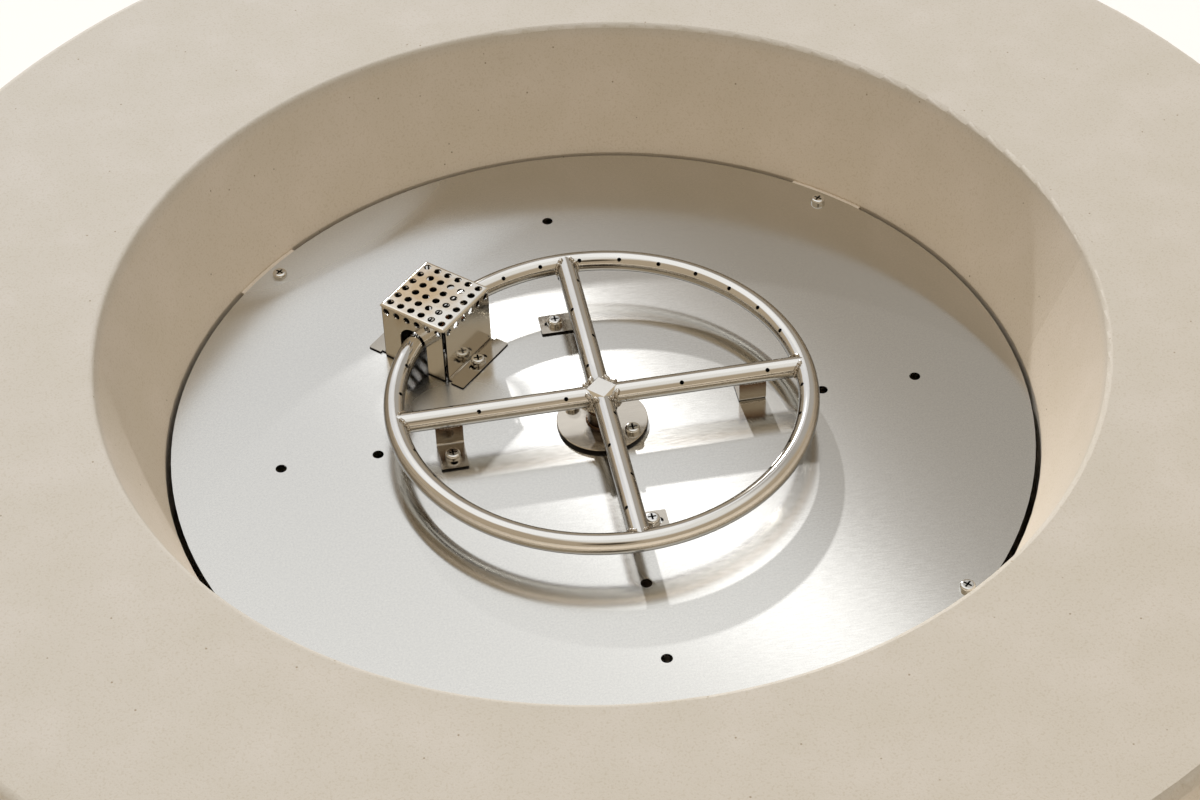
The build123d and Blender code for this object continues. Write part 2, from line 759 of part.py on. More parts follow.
def air_mixer():
    """Brass mixer on the end of the inlet pipe, with air holes round it."""
    body = Pos(0, 0, mixer_low) * Cylinder(mixer_d / 2, mixer_h, align=LOW)
    body = chamfer(body.edges().filter_by(GeomType.CIRCLE), turned_break)
    body -= Pos(0, 0, mixer_top - mixer_socket) * Cylinder(pipe_d / 2 + pipe_play, mixer_socket, align=LOW)
    body -= Pos(0, 0, mixer_low + orifice_l) * Cylinder(mixer_bore_d / 2, mixer_h, align=LOW)
    body -= Pos(0, 0, mixer_low) * Cylinder(orifice_d / 2 + weld_gap, mixer_h, align=LOW)
    for bearing in (45, 135):
        across = bar(air_hole_d, 2 * mixer_d, polar(-mixer_d, bearing, pan_top - air_hole_drop), polar(1, bearing, 0))
        body -= across
    return body


def gas_orifice():
    ring = Circle(orifice_d / 2) - Circle(orifice_bore_d / 2)
    return Pos(0, 0, mixer_low + weld_gap) * extrude(ring, orifice_l)


def elbow_fitting():
    """Brass elbow under the mixer, with its flare towards the controls."""
    body = Pos(0, 0, mixer_low) * Cylinder(elbow_d / 2, elbow_h, align=HIGH)
    body = fillet(body.edges().group_by(Axis.Z)[0], elbow_round)
    body += bar(hose_d, elbow_reach, (0, 0, elbow_z), (0, -1, 0))
    body -= Pos(0, 0, mixer_low) * Cylinder(inlet_bore_d / 2, elbow_drop, align=HIGH)
    body -= bar(inlet_bore_d, elbow_reach, (0, 0, elbow_z), (0, -1, 0))
    return body


def gas_connector():
    """Flexible connector from the valve to the elbow."""
    start = (0, -elbow_reach - weld_gap, elbow_z)
    end = (valve_x, plate_y + valve_depth + outlet_l + weld_gap, pocket_z - outlet_drop)
    after = (0, start[1] - hose_leave, elbow_z)
    before = (end[0], end[1] + hose_arrive, end[2])
    points = [start, after] + between(after, before, connector_route) + [before, end]
    return flexible(points, hose_bend, hose_d, hose_bore_d)


def connector_nuts():
    """The two flare nuts of the flexible connector."""
    nuts = []
    valve_back = plate_y + valve_depth
    ends = [((0, -elbow_d / 2 - hose_nut_off, elbow_z), (0, -1, 0)),
            ((valve_x, valve_back + weld_gap, pocket_z - outlet_drop), (0, 1, 0))]
    for at, towards in ends:
        body = hexagon(hose_nut_af, hose_nut_h, at, towards)
        nuts.append(body - bar(hose_d + 2 * hose_play, 2 * hose_nut_h, at, towards))
    return joined(nuts)


# Controls

def control_plate():
    """Stainless plate in the pocket, with holes for valve and igniter."""
    plate = pocket_front(0) * extrude(RectangleRounded(control_w, control_h, control_round), control_t)
    plate = chamfer(plate.faces().sort_by(Axis.Y)[0].edges(), edge_break)
    holes = [(bonnet_d + 2 * hose_play, valve_x, pocket_z), (igniter_d + 2 * hose_play, igniter_x, pocket_z)]
    holes += [(screw_hole_d, x, z) for x, z in control_corners()]
    holes += [(valve_screw_d + hole_play, valve_x, pocket_z + k * valve_screw_z) for k in (-1, 1)]
    for diameter, x, z in holes:
        plate -= bar(diameter, 3 * control_t, (x, plate_y + control_t, z), (0, -1, 0))
    return plate


def control_screws():
    one = screw(screw_d, control_t + insert_l - screw_short, head_d, head_h)
    return joined([Plane(origin=(x, plate_front, z), z_dir=(0, -1, 0)) * one for x, z in control_corners()])


def wall_inserts():
    """Inserts cast into the wall for the control plate."""
    one = threaded_insert()
    return joined([Plane(origin=(x, plate_y, z), z_dir=(0, -1, 0)) * one for x, z in control_corners()])


def valve_body():
    """Valve casting behind the plate, with gas outlet and rotor chamber."""
    middle = plate_y + valve_depth / 2
    body = Pos(valve_x, middle, pocket_z) * Box(valve_w, valve_depth, valve_h)
    body = fillet(body.edges().filter_by(Axis.Y), valve_round)
    back = plate_y + valve_depth
    body += bar(hose_d, outlet_l, (valve_x, back, pocket_z - outlet_drop), (0, 1, 0))
    body -= bar(inlet_bore_d, 3 * outlet_l, (valve_x, back - outlet_l, pocket_z - outlet_drop), (0, 1, 0))
    body -= bar(rotor_d + 2 * running_play, rotor_chamber, (valve_x, plate_y, pocket_z), (0, 1, 0))
    for k in (-1, 1):
        hole = (valve_x, plate_y, pocket_z + k * valve_screw_z)
        body -= bar(valve_screw_d + 2 * weld_gap, valve_screw_len, hole, (0, 1, 0))
    return body


def valve_screws():
    one = screw(valve_screw_d, valve_screw_len + control_t - screw_short, valve_screw_head_d, valve_screw_head_h)
    spots = [(valve_x, plate_front, pocket_z + k * valve_screw_z) for k in (-1, 1)]
    return joined([Plane(origin=spot, z_dir=(0, -1, 0)) * one for spot in spots])


def valve_bonnet():
    """Cover of the rotor chamber, which the stem comes out of."""
    body = bar(bonnet_d, bonnet_h, (valve_x, plate_y - weld_gap, pocket_z), (0, -1, 0))
    body = chamfer(body.edges().sort_by(Axis.Y)[0], turned_break)
    return body - bar(stem_d + 2 * running_play, 3 * bonnet_h, (valve_x, plate_y + bonnet_h, pocket_z), (0, -1, 0))


def stem_section(grow):
    """Round stem with one flat."""
    circle = Circle(stem_d / 2 + grow)
    flat = Pos(0, stem_flat + grow + stem_d) * Rectangle(3 * stem_d, 2 * stem_d)
    return circle - flat


def control_axis(depth):
    """Plane across the valve axis, a distance in front of the pocket flat."""
    return Plane(origin=(valve_x, plate_y - depth, pocket_z), x_dir=(1, 0, 0), z_dir=(0, -1, 0))


def valve_rotor():
    """Plug that turns in the valve and is keyed to the stem."""
    body = control_axis(-end_play - rotor_l) * extrude(Circle(rotor_d / 2), rotor_l)
    socket = stem_grip + knob_travel + end_play
    body -= control_axis(-end_play - socket) * extrude(stem_section(running_play), 2 * socket)
    gas_way = bar(inlet_bore_d, 2 * rotor_d, (valve_x - rotor_d, plate_y + rotor_l - inlet_bore_d / 2, pocket_z), (1, 0, 0))
    return body - gas_way


def valve_stem():
    length = stem_grip + control_t + knob_gap + knob_socket
    return control_axis(-end_play - stem_grip) * extrude(stem_section(0), length)


def control_knob():
    """Fluted knob with a skirt, on the flat of the stem."""
    back = control_axis(control_t + knob_gap)
    skirt = extrude(Circle(knob_d / 2), knob_skirt_h)
    skirt = chamfer(skirt.edges().group_by(Axis.Z)[-1], knob_skirt_bevel)
    grip = extrude(Circle(knob_grip_d / 2), knob_h)
    grip = fillet(grip.edges().group_by(Axis.Z)[-1], knob_round)
    for k in range(knob_flutes):
        at = polar(knob_grip_d / 2 + knob_flute_off, k * 360 / knob_flutes, knob_skirt_h)
        grip -= Pos(*at) * Cylinder(knob_flute_d / 2, knob_h, align=LOW)
    pointer = Pos(0, knob_grip_d / 4, knob_h) * Box(pointer_w, pointer_l, 2 * pointer_depth)
    knob = skirt + grip - pointer
    knob -= extrude(stem_section(weld_gap), knob_socket)
    return back * knob


def inlet_fitting():
    """Male flare fitting under the valve, for the supply line."""
    at = (valve_x, inlet_y, inlet_top_z)
    body = hexagon(inlet_af, inlet_hex_h, at, (0, 0, -1))
    body += bar(inlet_d, inlet_l, (at[0], at[1], at[2] - inlet_hex_h), (0, 0, -1))
    return body - bar(inlet_bore_d, 2 * (inlet_hex_h + inlet_l), at, (0, 0, -1))


def union_nut():
    """Small union that holds the sensor lead to the valve."""
    at = (valve_x, plate_y + valve_depth, pocket_z + union_rise)
    return hexagon(union_af, union_h, at, (0, 1, 0))


def igniter_plane(depth):
    return Plane(origin=(igniter_x, plate_y - depth, pocket_z), x_dir=(1, 0, 0), z_dir=(0, -1, 0))


def igniter_body():
    """Igniter barrel behind the plate with its face ring in front."""
    body = igniter_plane(-igniter_l) * extrude(Circle(igniter_d / 2), igniter_l + control_t)
    face = igniter_plane(control_t) * extrude(Circle(igniter_face_d / 2), igniter_face_h)
    body += chamfer(face.edges().sort_by(Axis.Y)[0], turned_break)
    pocket = igniter_pocket + control_t + igniter_face_h
    sleeve = Circle(button_d / 2 + running_play)
    return body - igniter_plane(-igniter_pocket) * extrude(sleeve, pocket)


def igniter_nut():
    outline = RegularPolygon(igniter_nut_af / 2, 6, major_radius=False) - Circle(igniter_d / 2 + hose_play)
    return igniter_plane(-igniter_nut_h) * extrude(outline, igniter_nut_h)


def igniter_button():
    """Sliding push button of the igniter."""
    face = control_t + igniter_face_h
    body = igniter_plane(face - button_l) * extrude(Circle(button_d / 2), button_l + button_proud)
    return fillet(body.edges().sort_by(Axis.Y)[0], button_round)


# Small fasteners on the pan

def foot_screw_z():
    return foot_t + washer_t


def screw_places():
    """Washer height above the pan and place of each washered screw."""
    places = [(x, y, foot_t) for x, y in foot_screw_spots()]
    places += [(x, y, box_t) for x, y in box_screw_spots()]
    return places


def washers():
    one = washer(washer_d, screw_hole_d, washer_t)
    return joined([Pos(x, y, pan_top + rise) * one for x, y, rise in screw_places()])


def pan_side_screws(spots, rise):
    """Screws through the pan whose heads sit a height above it."""
    length = rise + pan_t + nut_h + screw_proud
    one = screw(screw_d, length, head_d, head_h)
    return joined([Pos(x, y, pan_top + rise) * one for x, y in spots])


def pan_nuts():
    one = nut(nut_af, nut_h, screw_d + 2 * weld_gap)
    spots = foot_screw_spots() + flange_screw_spots() + box_screw_spots()
    return joined([Pos(x, y, pan_under) * one for x, y in spots])


def build():
    save("bowl_shell", bowl_shell())
    save("burner_pan", burner_pan())
    save("pan_screws", pan_screws())
    save("pan_inserts", pan_inserts())
    save("burner_ring", burner_ring())
    for side, bearing in spokes.items():
        save(f"spoke_{side}", spoke(bearing))
        save(f"burner_foot_{side}", burner_foot(side))
    save("burner_hub", burner_hub())
    save("inlet_pipe", inlet_pipe())
    save("burner_flange", burner_flange())
    save("flange_screws", pan_side_screws(flange_screw_spots(), flange_t))
    save("foot_screws", pan_side_screws(foot_screw_spots(), foot_screw_z()))
    save("washers", washers())
    save("pan_nuts", pan_nuts())
    save("pilot_box", pilot_box())
    save("pilot_box_screws", pan_side_screws(box_screw_spots(), box_t + washer_t))
    save("pilot_plate", pilot_plate())
    save("pilot_plate_screws", pilot_plate_screws())
    save("spark_electrode", spark_electrode())
    save("spark_rod", spark_rod())
    save("flame_sensor", flame_sensor())
    save("electrode_lead", electrode_lead())
    save("sensor_lead", sensor_lead())
    save("pipe_lock_nut", pipe_lock_nut())
    save("air_mixer", air_mixer())
    save("gas_orifice", gas_orifice())
    save("elbow_fitting", elbow_fitting())
    save("gas_connector", gas_connector())
    save("connector_nuts", connector_nuts())
    save("control_plate", control_plate())
    save("control_screws", control_screws())
    save("wall_inserts", wall_inserts())
    save("valve_body", valve_body())
    save("valve_screws", valve_screws())
    save("valve_bonnet", valve_bonnet())
    save("valve_rotor", valve_rotor())
    save("valve_stem", valve_stem())
    save("control_knob", control_knob())
    save("inlet_fitting", inlet_fitting())
    save("union_nut", union_nut())
    save("igniter_body", igniter_body())
    save("igniter_nut", igniter_nut())
    save("igniter_button", igniter_button())


build()
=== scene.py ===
# %% [markdown]
# Fire bowl
# A cast concrete bowl with a stainless burner pan, a tube ring burner on four spokes and a perforated pilot box.
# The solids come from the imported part. This script gives them their finishes, adds the welds, threads and paint
# that the solids leave out, and sets the light and the camera of the photograph.

# %% frame
import json
from math import cos, pi, radians, sin, sqrt

import bmesh
import bpy
from mathutils import Matrix, Vector, noise


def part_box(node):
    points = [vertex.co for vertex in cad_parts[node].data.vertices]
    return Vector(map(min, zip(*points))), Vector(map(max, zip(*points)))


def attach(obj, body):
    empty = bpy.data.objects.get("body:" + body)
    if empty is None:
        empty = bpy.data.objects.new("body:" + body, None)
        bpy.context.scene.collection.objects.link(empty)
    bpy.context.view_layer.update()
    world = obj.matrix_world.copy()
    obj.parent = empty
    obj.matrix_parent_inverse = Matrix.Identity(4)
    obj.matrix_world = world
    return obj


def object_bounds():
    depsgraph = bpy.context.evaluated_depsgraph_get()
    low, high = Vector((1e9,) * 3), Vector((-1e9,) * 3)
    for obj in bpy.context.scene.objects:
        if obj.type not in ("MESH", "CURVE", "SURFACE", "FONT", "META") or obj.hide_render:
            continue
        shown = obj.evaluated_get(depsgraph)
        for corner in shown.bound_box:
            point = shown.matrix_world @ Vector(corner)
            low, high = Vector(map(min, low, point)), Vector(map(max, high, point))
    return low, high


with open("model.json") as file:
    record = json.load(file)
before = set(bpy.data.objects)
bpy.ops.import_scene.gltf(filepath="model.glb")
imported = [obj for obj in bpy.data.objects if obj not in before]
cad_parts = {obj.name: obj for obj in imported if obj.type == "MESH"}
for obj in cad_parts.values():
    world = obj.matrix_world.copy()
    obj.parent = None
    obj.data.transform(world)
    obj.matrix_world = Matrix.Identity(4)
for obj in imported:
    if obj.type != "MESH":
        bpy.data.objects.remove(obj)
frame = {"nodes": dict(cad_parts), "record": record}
nodes = frame["nodes"]
cad_low, cad_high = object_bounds()
pan_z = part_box("burner_pan")[1].z
rim_z = cad_high.z
print("nodes", len(nodes), "pan top", round(pan_z, 4), "rim", round(rim_z, 4))

# %% [markdown]
# Colours
# A colour picked on a screen is not yet the amount of light that the renderer adds up, because screens store
# light on a curve. So every colour here is typed as its screen code, and one function turns it to linear light.

# %% colours
def linear(code):
    """Linear light of a screen colour such as C8BFB0, with an alpha of 1."""
    parts = [int(code[i:i + 2], 16) / 255 for i in (0, 2, 4)]
    return tuple(c / 12.92 if c <= 0.04045 else ((c + 0.055) / 1.055) ** 2.4 for c in parts) + (1.0,)


print("screen grey 808080 is", round(linear("808080")[0], 3), "in linear light")

# %% [markdown]
# Cast concrete
# The bowl is glass-fibre concrete, cast in a mould and left bare. It could be covered with a picture of concrete,
# but a picture repeats and has no size of its own. A network of shader nodes on Object coordinates, which are
# metres here, has its real size everywhere. One small function adds any node with its settings and links.

# %% a new finish
def add(tree, kind, links=None, output=0, stops=None, **settings):
    """Add a shader node and give one of its outputs. Links maps an input to a value or to another output."""
    node = tree.nodes.new("ShaderNode" + kind)
    for name, value in settings.items():
        setattr(node, name, value)
    for key, value in (links or {}).items():
        if isinstance(value, bpy.types.NodeSocket):
            tree.links.new(value, node.inputs[key])
        else:
            node.inputs[key].default_value = value
    for i, (place, code) in enumerate(stops or []):
        if i == len(node.color_ramp.elements):
            node.color_ramp.elements.new(1.0)
        node.color_ramp.elements[i].position = place
        node.color_ramp.elements[i].color = linear(code)
    return node.outputs[output] if node.outputs else node


def finish(name, surface):
    """A new material: itself, its node tree, its surface shader and its Object coordinates."""
    material = bpy.data.materials.new(name)
    material.use_nodes = True
    tree = material.node_tree
    shader = tree.nodes["Principled BSDF"]
    for key, value in surface.items():
        shader.inputs[key].default_value = value
    return material, tree, shader, add(tree, "TexCoord", output="Object")


# Bare cement is matt and dusty: it spreads light evenly and has hardly any shine.
stone, tree, shader, coords = finish("cast concrete", {"Roughness": 0.88, "Specular IOR Level": 0.3})
print("finish", stone.name)

# %% [markdown]
# Clouds and sand
# From a few steps away concrete shows broad clouds of tone, where water left the paste, and from close up its
# sand. Noise gives both: clouds of 45 mm and sand of 1.6 mm. The real sand is finer, but it would vanish in the
# render, so it is drawn as coarse as it needs to show.

# %% clouds and sand
def grain(tree, coords, size, detail=2.0, stretch=(1, 1, 1), turn=0.0):
    """Noise whose blotches are about size metres wide, longer along an axis with a small stretch value."""
    scale = tuple(s / size for s in stretch)
    place = add(tree, "Mapping", {"Vector": coords, "Rotation": (0, 0, turn), "Scale": scale})
    return add(tree, "TexNoise", {"Vector": place, "Scale": 1.0, "Detail": detail}, "Fac")


cloud = grain(tree, coords, 0.045, 4)
sand = grain(tree, coords, 0.0016, 3)
tone = add(tree, "ValToRGB", {0: cloud}, stops=[(0.32, "D2CABD"), (0.52, "D4CCC0"), (0.68, "D7CFC4")])
speck = add(tree, "ValToRGB", {0: sand}, stops=[(0.30, "F3F1EC"), (0.50, "FFFFFF"), (0.72, "FBFBFA")])
colour = add(tree, "MixRGB", {0: 1.0, 1: tone, 2: speck}, blend_type="MULTIPLY")
print("concrete nodes", len(tree.nodes))

# %% [markdown]
# Painted light on the concrete
# The wall of the recess is painted paler and warmer than the open rim, most of all near the pan, for the warm
# light that the pan and the walls throw on it. Across the bowl the colour is painted lighter and cooler towards
# the back left and darker towards the front right, for light that falls unevenly. Two masks could be painted by
# hand. Here they are worked out from the height and from a direction across the bowl, and they multiply the colour.

# %% painted light on the concrete
height = add(tree, "SeparateXYZ", {0: coords}, "Z")
below_rim = add(tree, "MapRange", {0: height, 1: rim_z - 0.010, 2: rim_z - 0.001, 3: 1.0, 4: 0.0})
depth = add(tree, "MapRange", {0: height, 1: pan_z, 2: rim_z, 3: 1.0, 4: 0.0})
# painted light: paler and warmer down the wall towards the pan
painted_warm_light = add(tree, "MixRGB", {0: depth, 1: (1.09, 1.055, 1.02, 1), 2: (1.26, 1.20, 1.13, 1)})
painted_warm_light = add(tree, "MixRGB", {0: below_rim, 1: (1, 1, 1, 1), 2: painted_warm_light})
across = add(tree, "VectorMath", {0: coords, 1: (-0.6, 0.8, 0.0)}, "Value", operation="DOT_PRODUCT")
across = add(tree, "MapRange", {0: across, 1: -0.5, 2: 0.5, 3: 0.0, 4: 1.0})
# painted light: lighter and cooler to the back left, darker to the front right
painted_side_light = add(tree, "MixRGB", {0: across, 1: (0.925, 0.93, 0.925, 1), 2: (0.965, 1.005, 1.06, 1)})
for factor in (painted_warm_light, painted_side_light):
    colour = add(tree, "MixRGB", {0: 1.0, 1: colour, 2: factor}, blend_type="MULTIPLY")
print("recess wall", round(1000 * (rim_z - pan_z)), "mm deep")

# %% [markdown]
# Air holes
# A few bubbles stay closed in the casting's skin as small pits. They could be cut into the mesh, but they
# are too small and too many for that. The distance to the points of a Voronoi texture gives round pits about
# 16 mm apart, painted darker as the shade inside them, and the sand between them is raised a fifth of a millimetre.

# %% air holes
HOLES_A_METRE = 62.0


def join(shader, links):
    """Link sockets into a surface shader."""
    for key, socket in links.items():
        shader.id_data.links.new(socket, shader.inputs[key])


hole = add(tree, "TexVoronoi", {"Vector": coords, "Scale": HOLES_A_METRE, "Randomness": 1.0}, "Distance")
outside_pit_shade = add(tree, "MapRange", {0: hole, 1: 0.028, 2: 0.055, 3: 0.0, 4: 1.0})
# painted shade in the pits
colour = add(tree, "MixRGB", {0: outside_pit_shade, 1: linear("A0927D"), 2: colour})
skin = add(tree, "Math", {0: sand, 1: outside_pit_shade}, operation="MULTIPLY")
skin = add(tree, "Bump", {"Height": skin, "Distance": 0.00018, "Strength": 0.6})
join(shader, {"Base Color": colour, "Normal": skin})
print("air holes about", round(1000 / HOLES_A_METRE), "mm apart")

# %% [markdown]
# Satin pan
# The pan is stainless sheet, ground in one direction. Thousands of fine strokes stretch a highlight across the
# grain, which one roughness can't do. They could be drawn as bump alone, but most are finer than a pixel, so the
# shader's own anisotropy does it, with a tangent across the strokes. The strokes themselves are drawn 1.1 mm wide,
# as coarse as they need to show.

# %% satin pan
PAN_GRAIN = 45.0        # direction in which the sheet is ground, degrees from +X

# Ground stainless is a clear, cool grey mirror with soft streaks.
pan_steel, tree, shader, coords = finish("satin stainless sheet", {"Metallic": 1.0})
stroke = grain(tree, coords, 0.0011, 3, (0.12, 1, 1), radians(-PAN_GRAIN))
speck = grain(tree, coords, 0.0014, 2)
tone = add(tree, "ValToRGB", {0: speck}, stops=[(0.3, "CCCAC5"), (0.7, "D4D2CC")])
crosswise = radians(PAN_GRAIN + 90)
tangent = add(tree, "CombineXYZ", {0: cos(crosswise), 1: sin(crosswise), 2: 0.0})
join(shader, {"Base Color": tone, "Tangent": tangent})
print("finish", pan_steel.name, "ground at", PAN_GRAIN, "degrees")

# %% [markdown]
# Scuffs on the pan
# The sheet is scuffed dull in front of the pilot box and at the wall behind it. Each scuff is an oval with a soft
# edge: a Mapping node moves, turns and stretches it to a circle, whose distance from its middle gives the mask.
# Inside a scuff the metal is rougher, and the strokes no longer run one way.

# %% scuffs
def scuff(tree, coords, at, turn, reach):
    """1 in the middle of an oval spot, softly 0 from its edge on."""
    oval = {"Vector": coords, "Location": at, "Rotation": (0, 0, radians(turn)), "Scale": reach}
    place = add(tree, "Mapping", oval, vector_type="TEXTURE")
    away = add(tree, "VectorMath", {0: place}, "Value", operation="LENGTH")
    return add(tree, "MapRange", {0: away, 1: 0.35, 2: 1.0, 3: 1.0, 4: 0.0}, interpolation_type="SMOOTHSTEP")


at_wall = scuff(tree, coords, (-0.160, 0.258, pan_z), 33, (0.170, 0.052, 1))
at_box = scuff(tree, coords, (-0.098, 0.042, pan_z), 0, (0.064, 0.040, 1))
weaker = add(tree, "Math", {0: at_box, 1: 0.75}, operation="MULTIPLY")
dulled = add(tree, "Math", {0: at_wall, 1: weaker}, operation="MAXIMUM")
ground = add(tree, "MapRange", {0: stroke, 1: 0.3, 2: 0.7, 3: 0.112, 4: 0.128})
scuffed = add(tree, "MapRange", {0: dulled, 1: 0.0, 2: 1.0, 3: 0.0, 4: 0.44})
rough = add(tree, "Math", {0: ground, 1: scuffed}, operation="MAXIMUM")
one_way = add(tree, "MapRange", {0: dulled, 1: 0.0, 2: 1.0, 3: 1.0, 4: 0.1})
join(shader, {"Roughness": rough, "Anisotropic": one_way})
print("pan nodes", len(tree.nodes))

# %% [markdown]
# A bend in the pan
# Behind on the left the thin sheet is bent up a little, which shows only in what it mirrors. The solid is flat,
# as the pan was made, so a broad bump tilts the reflection there, and the strokes lie on top of it.

# %% bend of the pan
bent = {"Vector": coords, "Location": (-0.140, 0.230, pan_z), "Rotation": (0, 0, radians(31)),
        "Scale": (0.19, 0.080, 1)}
split = add(tree, "SeparateXYZ", {0: add(tree, "Mapping", bent, vector_type="TEXTURE")}).node.outputs
aside = add(tree, "Math", {0: split["X"]}, operation="ABSOLUTE")
fade = add(tree, "MapRange", {0: aside, 1: 0.3, 2: 1.0, 3: 1.0, 4: 0.0}, interpolation_type="SMOOTHSTEP")
slope = add(tree, "MapRange", {0: split["Y"], 1: -0.9, 2: 1.2, 3: 0.0, 4: 1.0}, interpolation_type="SMOOTHSTEP")
lift = add(tree, "Math", {0: slope, 1: fade}, operation="MULTIPLY")
warp = add(tree, "Bump", {"Height": lift, "Distance": 0.0045})
skin = add(tree, "Bump", {"Height": stroke, "Distance": 0.000006, "Normal": warp})
join(shader, {"Normal": skin})
print("bend drawn 4.5 mm high at most")

# %% [markdown]
# Bare metals
# All of the burner is stainless, but each piece was finished another way, and behind the pan there are brass,
# copper, zinc plate and a cast alloy. Each could have a network of its own. They are so much alike that one
# function makes them all, from two tones, a roughness and the size of their scratches, which are drawn about
# 1 mm wide because the real ones are finer than a pixel.

# %% bare metals
def metal(name, tones, rough, size, spread=0.08, depth=0.00002, lay=None):
    """Bare metal of two tones with scratches of a size. Its roughness swings about a value by the spread, and lay
    turns the coordinates so that the scratches follow the piece."""
    material, tree, shader, coords = finish(name, {"Metallic": 1.0})
    scratch = grain(tree, lay(tree, coords) if lay else coords, size, 3)
    cloud = grain(tree, coords, 0.05, 3)
    tone = add(tree, "ValToRGB", {0: cloud}, stops=[(0.3, tones[0]), (0.7, tones[1])])
    worn = add(tree, "Math", {0: scratch, 1: cloud}, operation="MULTIPLY")
    shine = add(tree, "MapRange", {0: worn, 1: 0.1, 2: 0.45, 3: rough - spread, 4: rough + spread})
    skin = add(tree, "Bump", {"Height": scratch, "Distance": depth, "Strength": 1.0})
    join(shader, {"Base Color": tone, "Roughness": shine, "Normal": skin})
    return material


TUBE_TONES = ("D6D3CD", "DDDAD5")
# Polished tube: a clear mirror with a warm grey body.
tube_steel = metal("polished stainless tube", TUBE_TONES, 0.11, 0.0009, spread=0.05)
print("finish", tube_steel.name)

# %% [markdown]
# The other metals
# The part's record gives every solid a slot, such as brass. A table with one finish for each slot is easy to
# read and to change. What each metal gives the eye stands above it.

# %% the other metals
finishes = {
    "cast_stone": stone,
    "pan_steel": pan_steel,
    "tube_steel": tube_steel,
    # mill-bright sheet: softer reflections, a little darker
    "sheet_steel": metal("bright stainless sheet", ("C2BBAF", "CBC5BA"), 0.17, 0.0010),
    # cold-formed heads: small and bright
    "screw_steel": metal("stainless screw heads", ("CFCCC6", "D8D5CF"), 0.14, 0.0008),
    # zinc plate: bluish and milky
    "zinc_steel": metal("zinc plated steel", ("B9BCBE", "C6C8C6"), 0.32, 0.0010),
    # turned brass: yellow, with a fine satin
    "brass": metal("machined brass", ("C9A55C", "D3B26C"), 0.22, 0.0007),
    # wire that has been hot: grey-brown and dull
    "electrode_wire": metal("heat resisting wire", ("8F867C", "A79D92"), 0.34, 0.0008),
    # drawn copper: red-brown, slightly tarnished
    "copper_sheath": metal("drawn copper tube", ("B87553", "C58563"), 0.26, 0.0009),
    # die cast alloy: pale and matt
    "valve_alloy": metal("die cast alloy", ("A9A8A4", "B7B6B2"), 0.42, 0.0011),
    # rolled corrugations: a bright line on each ridge
    "corrugated_steel": metal("corrugated stainless hose", ("BDBAB4", "C8C5BF"), 0.25, 0.0010),
}
print("bare metals", len(finishes) - 1)

# %% [markdown]
# Moulded and glazed pieces
# The knob and the igniter are moulded plastic, the electrode stands in glazed ceramic, and its lead runs in a
# woven glass sleeve. None is metal, so colour and shine come from the shader's plain layer, and a small function
# gives two tones and a fine skin.

# %% moulded and glazed pieces
def moulded(name, tones, rough, size, depth):
    """A plain moulded, glazed or woven finish of two tones, with a skin of a size and a depth."""
    material, tree, shader, coords = finish(name, {"Roughness": rough})
    fine = grain(tree, coords, size, 2)
    tone = add(tree, "ValToRGB", {0: fine}, stops=[(0.3, tones[0]), (0.7, tones[1])])
    skin = add(tree, "Bump", {"Height": fine, "Distance": depth, "Strength": 1.0})
    join(shader, {"Base Color": tone, "Normal": skin})
    return material


# Glaze gives small sharp highlights, glass fibre a dry pale surface, thermoset a dull black and the button's
# plastic a glossy one.
finishes["glazed_insulator"] = moulded("glazed ceramic", ("E8E2D4", "F1ECE0"), 0.16, 0.004, 0.00002)
finishes["lead_sleeve"] = moulded("woven glass sleeve", ("C9C2AE", "DAD4C2"), 0.85, 0.0012, 0.0003)
finishes["black_knob"] = moulded("black thermoset", ("1B1B1C", "242425"), 0.48, 0.0012, 0.00005)
finishes["igniter_plastic"] = moulded("black gloss plastic", ("141415", "1C1C1D"), 0.22, 0.0020, 0.00002)
print("finishes", len(finishes))

# %% [markdown]
# A finish for every piece
# The part's record names the finish of each solid. It is read from there, so that nothing is left without one,
# and the pieces that differ get their own finish afterwards.

# %% cover the pieces
def cover(piece, material):
    """Give a piece one finish."""
    piece.data.materials.clear()
    piece.data.materials.append(material)


for entry in frame["record"]["subparts"]:
    cover(nodes[entry["node"]], finishes[entry["material_slot"]])

# %% [markdown]
# Layers on a finish
# A real surface is seldom one finish all over: heat browns it and soot blackens it. Painted light goes on the
# same way: a dark reflection where a polished tube is seen along its side, and shade in recesses. Each of these
# is a layer: a mask that is 1 where it lies, a colour, and for the black ones a roughness. The layer is put
# between the colour that is there and the shader.

# %% layers
def layer(material, mask, code, rough=0.0):
    """Lay a colour over a finish where its mask is 1, and make it at least so rough there."""
    tree = material.node_tree
    shader, coords = tree.nodes["Principled BSDF"], tree.nodes["Texture Coordinate"].outputs["Object"]
    part = mask(tree, coords)
    under = shader.inputs["Base Color"].links[0].from_socket
    join(shader, {"Base Color": add(tree, "MixRGB", {0: part, 1: under, 2: linear(code)})})
    if rough:
        least = add(tree, "Math", {0: part, 1: rough}, operation="MULTIPLY")
        shine = shader.inputs["Roughness"].links[0].from_socket
        join(shader, {"Roughness": add(tree, "Math", {0: shine, 1: least}, operation="MAXIMUM")})


def painted_edge_reflection(tree, coords):
    """Mask of a painted dark reflection: 0.7 where a surface is seen along its side, 0 where it faces the eye."""
    facing = add(tree, "LayerWeight", {"Blend": 0.5}, "Facing")
    return add(tree, "MapRange", {0: facing, 1: 0.36, 2: 0.80, 3: 0.0, 4: 0.7})


# painted reflection: the polished tubes darkened where seen along their sides
PAINTED_REFLECTION_TONE = "2E2A25"
layer(finishes["tube_steel"], painted_edge_reflection, PAINTED_REFLECTION_TONE)
print("layers on", finishes["tube_steel"].name)

# %% [markdown]
# Polished tubes
# The ring and the spokes are polished along their length, so their scratches run round the ring and along each
# spoke. They could be unwrapped, but a tube this regular needs no UV map: the coordinates are turned to bearing
# and radius for the ring, and drawn out along the axis for a spoke.

